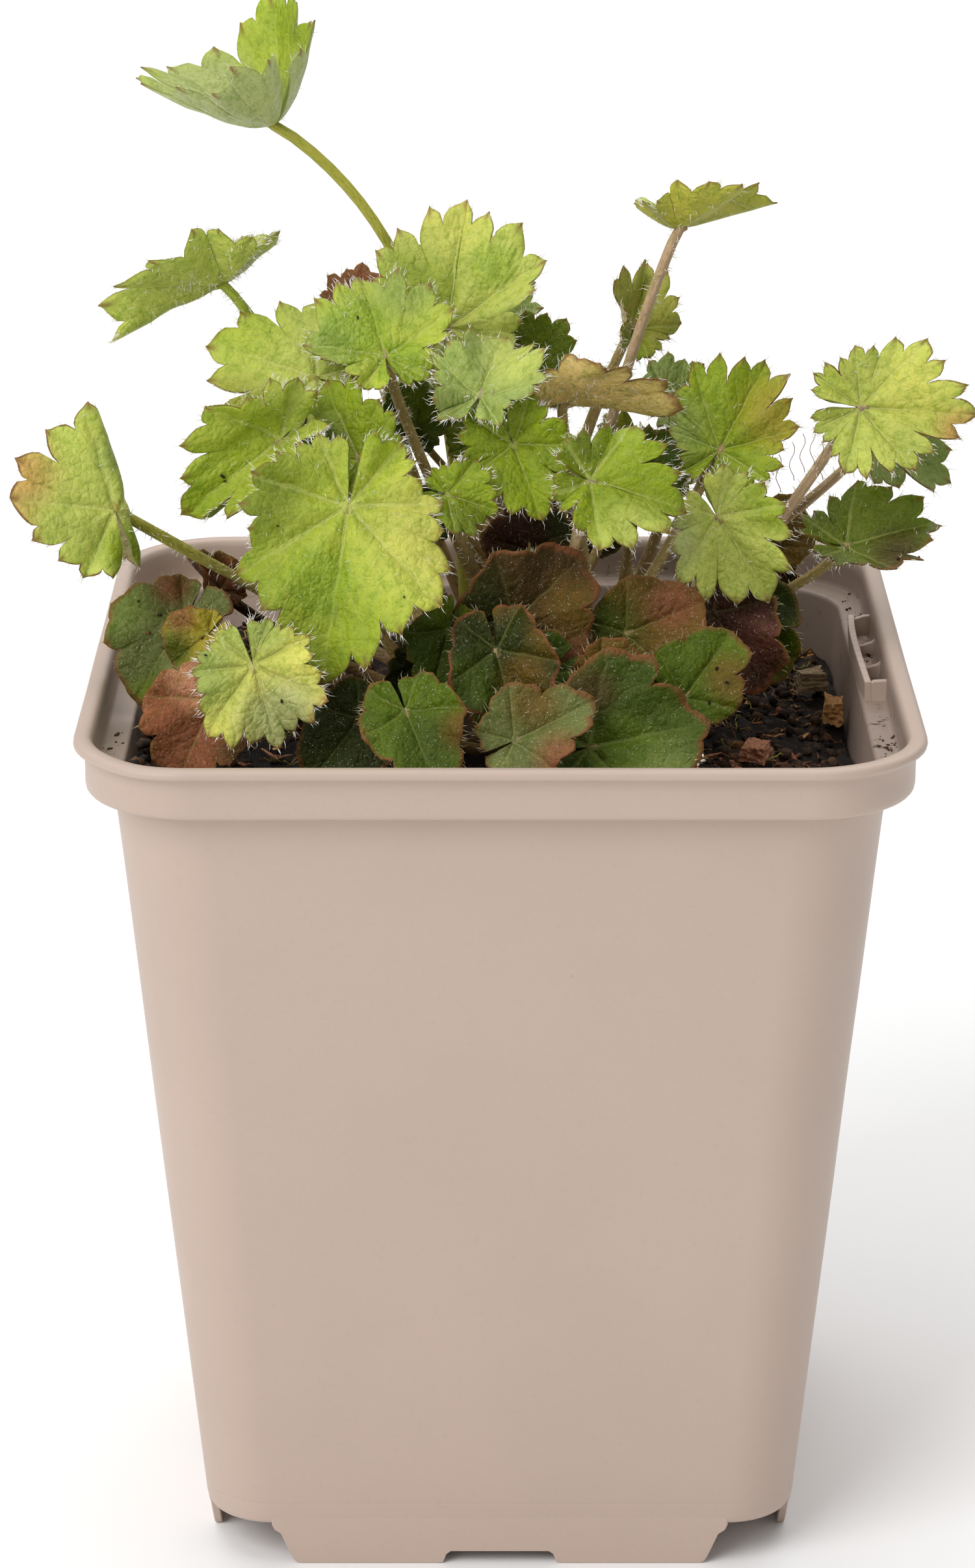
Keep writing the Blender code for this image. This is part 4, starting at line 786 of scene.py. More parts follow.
def bit_material(name, strength):
    """Crumbs, fibres and bits that carry their own colour."""
    paint = Paint(name)
    place = paint.node("ShaderNodeTexCoord", {}, {}, "Object")
    tint = paint.attribute("tint", "Color")
    fine = paint.noise(place, 1900.0, 5.0, 0.7)
    colour = paint.mix(paint.step(fine, 0.42, 0.68), paint.tinted(tint, CRUMB_HOLLOW), tint)
    paint.relief(fine, 0.25, strength)
    return paint.finish(Base_Color=colour, Roughness=0.66 + fine * 0.3, Specular_IOR_Level=0.35)


def bark_material(colours):
    """Splintered bark with grain along its length, in each chip's own colour."""
    paint = Paint("bark_finish")
    grain_place = paint.attribute("grain")
    tint = paint.attribute("tint", "Color")
    stretched = paint.node("ShaderNodeMapping", {}, {"Vector": grain_place, "Scale": (0.25, 1.6, 1.6)})
    grain = paint.noise(stretched, 5.0, 6.0, 0.72)
    flakes = paint.noise(grain_place, 2.2, 4.0)
    colour = paint.mix(paint.step(grain, 0.40, 0.62), paint.tinted(tint, BARK_GROOVE), tint)
    colour = paint.mix(paint.step(flakes, 0.56, 0.70) * 0.4, colour, tuple(colours["wood"]))
    paint.relief(grain + flakes * 0.6, 0.35, 0.9)
    return paint.finish(Base_Color=colour, Roughness=0.7 + grain * 0.25, Specular_IOR_Level=0.35)


# Meshes

def add_piece(name, points, faces, material, values=None, smooth=True):
    """A piece from points in millimetres, with its named values on the points, that rides on the plant."""
    mesh = bpy.data.meshes.new(name)
    mesh.from_pydata((np.asarray(points) * MM).tolist(), [], faces)
    mesh.update()
    for title, value in (values or {}).items():
        value = np.asarray(value, dtype=np.float32)
        width = 1 if value.ndim == 1 else value.shape[1]
        kind, field = {1: ("FLOAT", "value"), 3: ("FLOAT_VECTOR", "vector"), 4: ("FLOAT_COLOR", "color")}[width]
        mesh.attributes.new(title, kind, "POINT").data.foreach_set(field, value.ravel())
    if smooth:
        mesh.shade_smooth()
    mesh.materials.append(material)
    piece = bpy.data.objects.new(name, mesh)
    bpy.context.scene.collection.objects.link(piece)
    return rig.ride(piece, "root")


def unit(vectors):
    return vectors / np.maximum(np.linalg.norm(vectors, axis=-1, keepdims=True), 1e-9)


class Heap:
    """Points and faces of many small shapes, gathered into one mesh."""

    def __init__(self):
        self.points = []
        self.faces = []
        self.values = {}
        self.count = 0

    def add(self, points, faces, **values):
        self.points.append(np.asarray(points, dtype=float))
        self.faces += [tuple(k + self.count for k in face) for face in faces]
        for title, value in values.items():
            value = np.asarray(value, dtype=float)
            if value.ndim == 0 or value.shape[0] != len(points):
                value = np.tile(value, (len(points), 1)) if value.ndim else np.full(len(points), float(value))
            self.values.setdefault(title, []).append(value)
        self.count += len(points)

    def piece(self, name, material, smooth=True):
        joined = {title: np.concatenate(value) for title, value in self.values.items()}
        return add_piece(name, np.concatenate(self.points), self.faces, material, joined, smooth)


def ring_faces(rings, count, turned=False):
    """Faces between rings of points that follow one another. Turned faces look the other way."""
    faces = []
    for ring in range(rings - 1):
        for k in range(count):
            a, b = ring * count + k, ring * count + (k + 1) % count
            faces.append((a, a + count, b + count, b) if turned else (a, b, b + count, a + count))
    return faces


def tube(line, radii, sides, squash=1.0):
    """Points and faces of a tube along a line, closed at both ends."""
    line = np.asarray(line, dtype=float)
    along = unit(np.gradient(line, axis=0))
    across = np.cross(along[0], (0.0, 0.0, 1.0))
    if np.linalg.norm(across) < 0.1:
        across = np.cross(along[0], (1.0, 0.0, 0.0))
    points = []
    turns = 2 * np.pi * np.arange(sides) / sides
    for centre, way, radius in zip(line, along, radii):
        across = unit(across - way * np.dot(across, way))
        other = np.cross(way, across) * squash
        points.append(centre + radius * (np.outer(np.cos(turns), across) + np.outer(np.sin(turns), other)))
    faces = ring_faces(len(line), sides)
    last = (len(line) - 1) * sides
    faces.append(tuple(reversed(range(sides))))
    faces.append(tuple(range(last, last + sides)))
    return np.concatenate(points), faces


def picture_place(points):
    """How far across and up a point is in the front view, in millimetres."""
    tilt = math.radians(CAMERA_TILT)
    points = np.asarray(points)
    return points[..., 0], points[..., 1] * math.sin(tilt) + points[..., 2] * math.cos(tilt)


# Leaves

def direction_of(bearing, lift):
    """The direction with a bearing and a lift in degrees."""
    level = Vector((math.cos(math.radians(bearing)), math.sin(math.radians(bearing)), 0.0))
    return level * math.cos(math.radians(lift)) + Vector((0, 0, math.sin(math.radians(lift))))


def leaf_axes(leaf):
    """Turns the blade's own axes, to the tip, to its left and out of its upper side, into the world's."""
    out = direction_of(*leaf.face)
    right = direction_of(leaf.face[0] + 90, 0)
    up = out.cross(right)
    turn = math.radians(leaf.turn)
    tip = right * math.cos(turn) + up * math.sin(turn)
    return Matrix((tip, out.cross(tip), out)).transposed()


def lobe_step(leaf):
    return math.radians(2 * LOBE_SPREAD / leaf.lobes)


def plain_reach(leaf, angle):
    """How far the blade reaches from its stalk, before teeth and notches."""
    return leaf.size / (1.0 + leaf.back * (1.0 - np.cos(angle)))


def rim_samples(leaf, detail):
    """Angle, reach and nearness to a tooth's tip, all round the toothed rim. No two teeth are quite alike."""
    step = lobe_step(leaf)
    dice = random.Random(leaf.name)
    sharp = OLD_TEETH if leaf.name.startswith("lower") else 1.0
    marks = [(-math.radians(LOBE_SPREAD), 1.0 - leaf.depth, False)]
    for lobe in range(leaf.lobes):
        middle = (lobe - (leaf.lobes - 1) / 2) * step
        lobe_size = 1.0 + LOBE_CHANGE * math.sin(2.3 * lobe + leaf.size)
        for place in sorted((*TOOTH_PLACES, *NOTCH_PLACES)):
            notch = place in NOTCH_PLACES
            size = 1.0 if place == 0.0 else SIDE_TOOTH * dice.uniform(0.94, 1.01)
            if notch:
                size = TOOTH_TOP - (TOOTH_TOP - SIDE_TOOTH + TOOTH_DEPTH * leaf.depth) * sharp
            size *= lobe_size * dice.uniform(0.96, 1.01)
            marks.append((middle + (place + dice.uniform(-0.09, 0.09)) * step / 2, size, not notch))
        border = 1.0 - leaf.depth * dice.uniform(0.85, 1.25)
        marks.append((middle + step / 2, border, False))
    angles, reaches, tips = [], [], []
    for (start, low, is_tip), (end, high, _) in zip(marks, marks[1:]):
        for k in range(detail):
            t = k / detail
            from_tip = 1 - (1 - t) ** 1.5 if is_tip else (1 - t) ** 1.5
            angle_share = from_tip if is_tip else 1 - from_tip
            tip_size, notch_size = (low, high) if is_tip else (high, low)
            roundness = LOBE_ROUND if abs(notch_size - tip_size) > 0.12 else TOOTH_ROUND
            size = notch_size + (tip_size - notch_size) * (1 - from_tip) ** roundness
            size += TOOTH_POINT * sharp * max(0.0, 1 - 9 * from_tip) - TOOTH_POINT * sharp
            angles.append(start + (end - start) * angle_share)
            reaches.append(size)
            tips.append(max(0.0, 1 - from_tip * 7))
    angles.append(marks[-1][0])
    reaches.append(marks[-1][1])
    tips.append(0.0)
    angles = np.array(angles)
    return angles, np.array(reaches) * plain_reach(leaf, angles) * 0.995, np.array(tips)


def blade_surface(leaf, axes, angle, share, reach, ruffle=0.0):
    """Points of the blade's middle surface, in millimetres, for arrays of angles, shares and reaches."""
    rise = math.radians(leaf.cup) * (0.5 + 0.5 * share)
    x = reach * np.cos(rise) * np.cos(angle)
    y = reach * np.cos(rise) * np.sin(angle)
    step = lobe_step(leaf)
    height = reach * np.sin(rise) - PLEAT * reach * np.cos(2 * np.pi * angle / step)
    height = height + leaf.wave * leaf.size * share ** 3 * np.sin(3 * angle + leaf.size)
    if ruffle:
        size = leaf.size
        lobe = angle / step
        off = np.abs(lobe - np.round(lobe)) * reach / size * step
        height = height - 0.012 * size * np.exp(-(off / 0.05) ** 2) * np.minimum(1, share * 4) * (1 - share ** 4)
        height = height + ruffle * size * share ** 4 * np.sin(9.3 * angle + 2 * size)
        uneven = np.sin(2.3 * angle + 1.7 * size) + 0.7 * np.sin(5.1 * angle + 2.9 * size)
        height = height + 1.5 * ruffle * size * share ** 2 * uneven
        swell = np.sin(0.9 * x + size) * np.sin(1.1 * y - 2 * size) + 0.5 * np.sin(1.9 * y + 1.3 * x)
        height = height + 0.35 * ruffle * size * swell * share * (1 - share ** 6)
        height = height + 0.014 * size * share * np.sin(7 * x / size + size) * np.sin(8 * y / size - size)
    fold = np.where(y > 0, math.radians(leaf.folds[0]), math.radians(leaf.folds[1]))
    fold = fold * np.minimum(1.0, np.abs(y) / (FOLD_WIDTH * leaf.size))
    across = np.abs(y) * np.cos(fold) - height * np.sin(fold)
    height = np.abs(y) * np.sin(fold) + height * np.cos(fold)
    y = np.copysign(across, y)
    if leaf.bend:
        radius = leaf.size / math.radians(leaf.bend)
        swing = x / radius
        x = (radius + height) * np.sin(swing)
        height = (radius + height) * np.cos(swing) - radius
    turned = np.stack((x, y, height), axis=-1) @ np.array(axes).T
    return turned + np.array(leaf.at)


class Blade:
    """The grid of one blade: its middle surface, the way each point looks, and where it lies on the leaf."""

    def __init__(self, leaf, plant):
        self.leaf = leaf
        self.axes = leaf_axes(leaf)
        angle, edge, tip = rim_samples(leaf, plant.detail)
        rings = max(9, round(leaf.size))
        share = np.append(np.linspace(0.0, 1.0, rings)[1:-1] ** 0.9, (0.96, 1.0))
        self.share = np.repeat(share[:, None], len(angle), 1)
        self.angle = np.repeat(angle[None, :], len(share), 0)
        body = plain_reach(leaf, angle) * (1 - leaf.depth * 1.04)
        blend = self.share ** 3
        self.reach = self.share * (body * (1 - blend) + edge * blend)
        self.tip = np.repeat(tip[None, :], len(share), 0)
        points = blade_surface(leaf, self.axes, self.angle, self.share, self.reach, plant.ruffle)
        self.points = np.clip(points, np.array(FRAME_LOW) / MM + 0.3, np.array(FRAME_HIGH) / MM - 0.3)
        outward = np.gradient(self.points, axis=0)
        around = np.gradient(self.points, axis=1)
        self.normals = unit(np.cross(outward, around))
        self.outward = unit(outward)
        self.centre = np.array(leaf.at)
        self.facing = np.array(self.axes @ Vector((0, 0, 1)))

    def spot(self, across, up):
        """Point and facing of the blade nearest to a place across and up from the stalk's end, from the front."""
        x, y = picture_place(self.points)
        x0, y0 = picture_place(self.centre)
        nearest = np.argmin((x - x0 - across) ** 2 + (y - y0 - up) ** 2)
        row, column = divmod(int(nearest), self.points.shape[1])
        return self.points[row, column], self.normals[row, column]


def painted(blade, look, colours, upper):
    """Colours of a blade's side: its own colour, a soft change over it, and its patches. Alpha 0 is wet."""
    points = blade.points
    base = np.array(colours[look.top if upper else look.under])
    colour = np.tile(base, (*points.shape[:2], 1))
    x, y = picture_place(points)
    x0, y0 = picture_place(blade.centre)

    def distance(across, up, reach):
        return np.hypot(x - x0 - across, y - y0 - up) / reach

    for *patch, name in look.patches if upper else ():
        weight = np.clip(1.35 - distance(*patch), 0, 1)
        weight = (weight * weight * (3 - 2 * weight))[..., None] * 0.85
        colour = colour * (1 - weight) + np.array(colours[name]) * weight
    glow = 1.0 + 0.10 * np.sin(3 * blade.angle + blade.leaf.size) * blade.share
    colour = np.clip(colour * glow[..., None], 0, 1)
    dry = np.ones(points.shape[:2])
    if upper:
        for spot in look.wet:
            ragged = distance(*spot) + 0.18 * np.sin(5 * x + 3 * y) * np.sin(4 * y - 2 * x)
            dry = np.minimum(dry, np.clip((ragged - 0.8) / 0.25, 0, 1))
    return np.concatenate((colour, dry[..., None]), axis=-1)


def spread_bearings(bearings, spacing):
    """Push bearings in degrees apart until neighbours keep their spacing."""
    spots = list(bearings)
    order = sorted(range(len(spots)), key=lambda k: spots[k])
    for _ in range(400):
        for place, k in enumerate(order):
            after = order[(place + 1) % len(order)]
            gap = spots[after] - spots[k] + (360.0 if place == len(order) - 1 else 0.0)
            if gap < spacing:
                push = (spacing - gap) / 2
                spots[k] -= push
                spots[after] += push
    return spots


def socket_directions():
    """Where each stalk leaves the crown: in its ring, as near its own leaf's bearing as fits."""
    sockets = {}
    for ring, lift in RING_LIFT.items():
        members = [leaf for leaf in LEAVES if leaf.ring == ring]
        own = [math.degrees(math.atan2(leaf.at[1] - CROWN.y, leaf.at[0] - CROWN.x)) for leaf in members]
        spacing = math.degrees(ROOT_SPACING / (CROWN_RADIUS * math.cos(math.radians(lift))))
        for leaf, bearing in zip(members, spread_bearings(own, spacing)):
            sockets[leaf.name] = direction_of(bearing, lift)
    return sockets


def stalk_line(leaf, axes, direction, count=26):
    """The stalk's line, straight out of the crown and then a smooth curve to the blade's back, and its radii."""
    root = CROWN + direction * (CROWN_RADIUS - HOLE_DEPTH + ROOT_GAP)
    leave = CROWN + direction * (CROWN_RADIUS + ROOT_STRAIGHT)
    end = Vector(leaf.at)
    span = end - leave
    arrive = (span.normalized() + 0.8 * (axes @ Vector((0, 0, 1)))).normalized()
    first = leave + direction * span.length * 0.35 + Vector(leaf.sway)
    second = end - arrive * span.length * 0.3 + Vector(leaf.sway)
    line = [root]
    radii = [ROOT_RADIUS]
    for k in range(count):
        t = k / (count - 1)
        near = leave * (1 - t) ** 3 + first * 3 * t * (1 - t) ** 2
        far = second * 3 * t * t * (1 - t) + end * t ** 3
        line.append(near + far)
        swelling = 1.0 + 0.05 * math.sin(9 * t + leaf.size) - 0.12 * t
        radii.append(ROOT_RADIUS + (leaf.stalk * swelling * (1 - 0.12 * t) - ROOT_RADIUS) * min(1.0, 6 * t))
    line[-1] = end + axes @ Vector((0.1, 0, -0.2))
    line.append(end + axes @ Vector((0.9, 0, -0.05)))
    radii[-1] = leaf.stalk * 0.8
    radii.append(leaf.stalk * 0.42)
    return np.array([tuple(p) for p in line]), np.array(radii)


def add_stalk(heap, line, radii, look, colours, seed):
    """Adds a leaf's stalk to a heap, from its colour near the crown to its colour near the blade."""
    points, faces = tube(line, radii, STALK_SIDES)
    count = len(points)
    ring = np.repeat(np.arange(len(line)) / (len(line) - 1), STALK_SIDES)
    root, neck = np.array(colours[look.root]), np.array(colours[look.neck])
    rise = np.clip(ring * 1.6 - 0.25, 0, 1)[:, None]
    tint = np.concatenate((root * (1 - rise) + neck * rise, np.ones((count, 1))), axis=1)
    around = np.tile(np.arange(STALK_SIDES) * 0.12, len(line))
    heap.add(points, faces, flat=np.stack((ring * 4, around, np.full(count, seed + 9)), axis=-1),
             veins=np.tile((0.45, 5.0, 0.0), (count, 1)), touch=np.zeros((count, 3)), tint=tint)


def leaf_mesh(blade, line, radii, look, colours, thickness):
    """Points, faces and values of a whole leaf: upper side, under side, rim and stalk."""
    leaf = blade.leaf
    rows, columns = blade.points.shape[:2]
    half = thickness / 2 * (1 - 0.65 * blade.share ** 8)
    heap = Heap()
    seed = leaf.size * 3.1 + leaf.at[0]
    step = lobe_step(leaf)
    flat = np.stack((blade.reach * np.cos(blade.angle) / 10, blade.reach * np.sin(blade.angle) / 10,
                     np.full((rows, columns), seed)), axis=-1)
    place = np.stack((blade.angle / step, blade.reach / leaf.size, blade.share), axis=-1)
    for upper in (True, False):
        way = 1 if upper else -1
        points = blade.points + way * blade.normals * half[..., None]
        centre = blade.centre + way * blade.facing * thickness / 2
        touch = np.stack((np.full((rows, columns), 1.0 if upper else 0.0), np.full((rows, columns), look.rim),
                          blade.tip), axis=-1)
        tint = painted(blade, look, colours, upper)
        faces = [(0, 1 + k, 2 + k) for k in range(columns - 1)]
        for row in range(rows - 1):
            a = 1 + row * columns
            faces += [(a + k, a + columns + k, a + columns + k + 1, a + k + 1) for k in range(columns - 1)]
        if not upper:
            faces = [tuple(reversed(face)) for face in faces]
        shift = flat + np.array((0, 0, 0 if upper else 5.0))
        heap.add(np.concatenate((centre[None], points.reshape(-1, 3))), faces,
                 flat=np.concatenate((shift[0, :1] * (0, 0, 1), shift.reshape(-1, 3))),
                 veins=np.concatenate((((0, 0, 0.03),), place.reshape(-1, 3))),
                 touch=np.concatenate((((1.0 if upper else 0.0, 0, 0),), touch.reshape(-1, 3))),
                 tint=np.concatenate((tint[0, :1], tint.reshape(-1, 4))))
    other = 1 + rows * columns
    last = 1 + (rows - 1) * columns
    heap.faces += [(last + k, last + k + other, last + k + 1 + other, last + k + 1) for k in range(columns - 1)]
    for column, way in ((0, 1), (columns - 1, -1)):
        spoke = [0] + [1 + row * columns + column for row in range(rows)]
        sides = [(a, a + other, b + other, b) for a, b in zip(spoke, spoke[1:])]
        heap.faces += [face if way < 0 else tuple(reversed(face)) for face in sides]
    add_stalk(heap, line, radii, look, colours, seed)
    return heap


def hair_heap(heap, feet, ways, lengths, radius, old, dice):
    """Adds thin pointed hairs with a slight bend to a heap, those that stay inside the frame's box."""
    low, high = np.array(FRAME_LOW) / MM, np.array(FRAME_HIGH) / MM
    feet, ways, lengths = np.asarray(feet), unit(np.asarray(ways)), np.asarray(lengths)
    bends = dice.normal(0, 0.22, feet.shape)
    middles = feet + ways * lengths[:, None] * 0.55
    tips = feet + (ways + bends) * lengths[:, None]
    inside = np.all((tips > low + 0.02) & (tips < high - 0.02), axis=1)
    feet, ways, middles, tips = feet[inside], ways[inside], middles[inside], tips[inside]
    count = len(feet)
    if not count:
        return
    side = unit(np.cross(ways, unit(dice.normal(0, 1, feet.shape))))
    other = np.cross(ways, side)
    rings = []
    for centre, width in ((feet, radius), (middles, radius * 0.62)):
        for turn in HAIR_SIDES:
            rings.append(centre + width * (side * math.cos(turn) + other * math.sin(turn)))
    points = np.stack((*rings, tips), axis=1).reshape(-1, 3)
    along = np.tile((0.0, 0.0, 0.0, 0.55, 0.55, 0.55, 1.0), count)
    pattern = []
    for k in range(3):
        n = (k + 1) % 3
        pattern += [(k, n, n + 3), (k, n + 3, k + 3), (k + 3, n + 3, 6)]
    faces = [tuple(7 * i + k for k in face) for i in range(count) for face in pattern]
    heap.add(points, faces, along=along, old=np.full(len(along), old))


def leaf_hairs(rim_heap, stalk_heap, blade, line, radii, look, plant, dice):
    """Hairs round a leaf's rim, on its under side and on its stalk."""
    leaf = blade.leaf
    rim = blade.points[-1]
    length = float(np.linalg.norm(np.diff(rim, axis=0), axis=1).sum())
    old = leaf.name.startswith(("lower", "back"))
    near = OLD_HAIR_SHARE if old else 1.0
    count = int(length * plant.rim_hairs * min(1.2, 0.35 + 0.65 * look.hairs) * (0.6 if old else 1))
    if look.hairs < FEW_HAIRS:
        count //= 3
    pick = dice.uniform(0, len(rim) - 1.001, count)
    low = pick.astype(int)
    part = (pick - low)[:, None]
    feet = rim[low] * (1 - part) + rim[low + 1] * part
    out = blade.outward[-1][low]
    normal = blade.normals[-1][low]
    ways = out + normal * dice.normal(0, 0.35, (count, 1)) + dice.normal(0, 0.25, (count, 3))
    longest = plant.hair_length * (0.8 + 0.2 * near)
    width = plant.hair_width * (OLD_HAIR_WIDTH if old else 1.0)
    tint = OLD_HAIR_TINT if old else 0.0
    lengths = longest * dice.uniform(0.4, 1.0, count) ** 1.2
    hair_heap(rim_heap, feet - out * 0.05, ways, lengths, width, tint, dice)
    for upper, amount in ((False, 10.0 * look.hairs), (True, 2.2 * look.hairs)):
        count = int(leaf.size * amount * near * 0.8)
        rows = dice.integers(1, blade.points.shape[0] - 1, count)
        columns = dice.integers(0, blade.points.shape[1], count)
        normal = blade.normals[rows, columns] * (1 if upper else -1)
        feet = blade.points[rows, columns] + normal * plant.blade * 0.4
        ways = normal + dice.normal(0, 0.45, (count, 3)) + blade.outward[rows, columns] * 0.4
        hair_heap(rim_heap, feet, ways, longest * dice.uniform(0.3, 0.8, count), width * 0.85, tint, dice)
    if look.hairs < FEW_HAIRS and not old:
        return
    span = float(np.linalg.norm(np.diff(line, axis=0), axis=1).sum())
    count = int(span * plant.stalk_hairs * min(1.3, look.hairs) * (0.3 if old else 0.7))
    pick = dice.uniform(STALK_HAIRS_FROM, len(line) - 2.2, count)
    low = pick.astype(int)
    part = (pick - low)[:, None]
    centre = line[low] * (1 - part) + line[low + 1] * part
    along = unit(line[low + 1] - line[low])
    ways = dice.normal(0, 1, (count, 3))
    ways = unit(ways - along * np.sum(ways * along, axis=1, keepdims=True))
    feet = centre + ways * (radii[low] * 0.9)[:, None]
    ways = ways + along * dice.normal(0.1, 0.3, (count, 1))
    hair_heap(stalk_heap, feet, ways, longest * dice.uniform(0.35, 0.9, count), width, tint, dice)


def palette(scene):
    """The plant's colours by name."""
    group = scene.heuchera_colours
    return {name: tuple(getattr(group, name)) for name in HeucheraColours.__annotations__}


class HEUCHERA_OT_leaves(bpy.types.Operator):
    """Add every leaf and the small shoots between them: toothed blades on their stalks"""
    bl_idname = "heuchera.leaves"
    bl_label = "Add Leaves"

    def execute(self, context):
        plant = context.scene.heuchera_plant
        colours = palette(context.scene)
        sockets = socket_directions()
        materials = {kind: leaf_material(kind, colours) for kind in FINISHES}
        for leaf in LEAVES:
            look = LOOKS[leaf.name]
            blade = Blade(leaf, plant)
            line, radii = stalk_line(leaf, blade.axes, sockets[leaf.name])
            heap = leaf_mesh(blade, line, radii, look, colours, plant.blade)
            piece = heap.piece(f"fine_{leaf.name}", materials[leaf.kind])
            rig.replaces(piece, leaf.name)
            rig.slot(piece, f"{leaf.kind}_leaf")
        for leaf, bearing in zip(SHOOTS, SHOOT_BEARINGS):
            blade = Blade(leaf, plant)
            lift = SHOOT_LIFT if leaf.ring == "top" else RING_LIFT[leaf.ring]
            line, radii = stalk_line(leaf, blade.axes, direction_of(bearing, lift))
            heap = leaf_mesh(blade, line, radii, SHOOT_LOOKS[leaf.kind], colours, plant.blade)
            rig.slot(heap.piece(leaf.name, materials[leaf.kind]), f"{leaf.kind}_leaf")
        return {"FINISHED"}


class HEUCHERA_OT_hairs(bpy.types.Operator):
    """Add the fine white hairs of the rims, under sides and stalks"""
    bl_idname = "heuchera.hairs"
    bl_label = "Add Hairs"

    def execute(self, context):
        plant = context.scene.heuchera_plant
        material = hair_material(palette(context.scene))
        sockets = socket_directions()
        dice = np.random.default_rng(plant.seed)
        groups = {"upper": (Heap(), Heap()), "lower": (Heap(), Heap()), "back": (Heap(), Heap())}
        for leaf in LEAVES:
            blade = Blade(leaf, plant)
            line, radii = stalk_line(leaf, blade.axes, sockets[leaf.name])
            heaps = groups[leaf.name.split("_")[0]]
            leaf_hairs(*heaps, blade, line, radii, LOOKS[leaf.name], plant, dice)
        for group, heaps in groups.items():
            for title, heap in zip(("blade", "stalk"), heaps):
                piece = heap.piece(f"{group}_{title}_hairs", material)
                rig.slot(piece, "young_leaf")
        return {"FINISHED"}


# Pot

def rounded_square(width, corner, height, steps):
    """Points round a square with rounded corners, anticlockwise from above."""
    inner = width / 2 - corner
    points = []
    for quarter in range(4):
        middle = math.radians(45 + 90 * quarter)
        corner_x = math.copysign(inner, math.cos(middle))
        corner_y = math.copysign(inner, math.sin(middle))
        for step in range(steps + 1):
            angle = math.radians(90 * quarter + 90 * step / steps)
            points.append((corner_x + corner * math.cos(angle), corner_y + corner * math.sin(angle), height))
        ahead = math.radians(135 + 90 * quarter)
        end = (math.copysign(inner, math.cos(ahead)), math.copysign(inner, math.sin(ahead)))
        turn = math.radians(90 * (quarter + 1))
        here = points[-1]
        there = (end[0] + corner * math.cos(turn), end[1] + corner * math.sin(turn))
        for k in range(1, 8):
            t = k / 8
            points.append((here[0] * (1 - t) + there[0] * t, here[1] * (1 - t) + there[1] * t, height))
    return points


def body_width(height):
    """Outer width of the tapering body."""
    return BODY_WIDTH_BOTTOM + (BODY_WIDTH_TOP - BODY_WIDTH_BOTTOM) * height / COLLAR_BOTTOM


def body_corner(height):
    return BODY_CORNER_BOTTOM + (BODY_CORNER_TOP - BODY_CORNER_BOTTOM) * height / COLLAR_BOTTOM


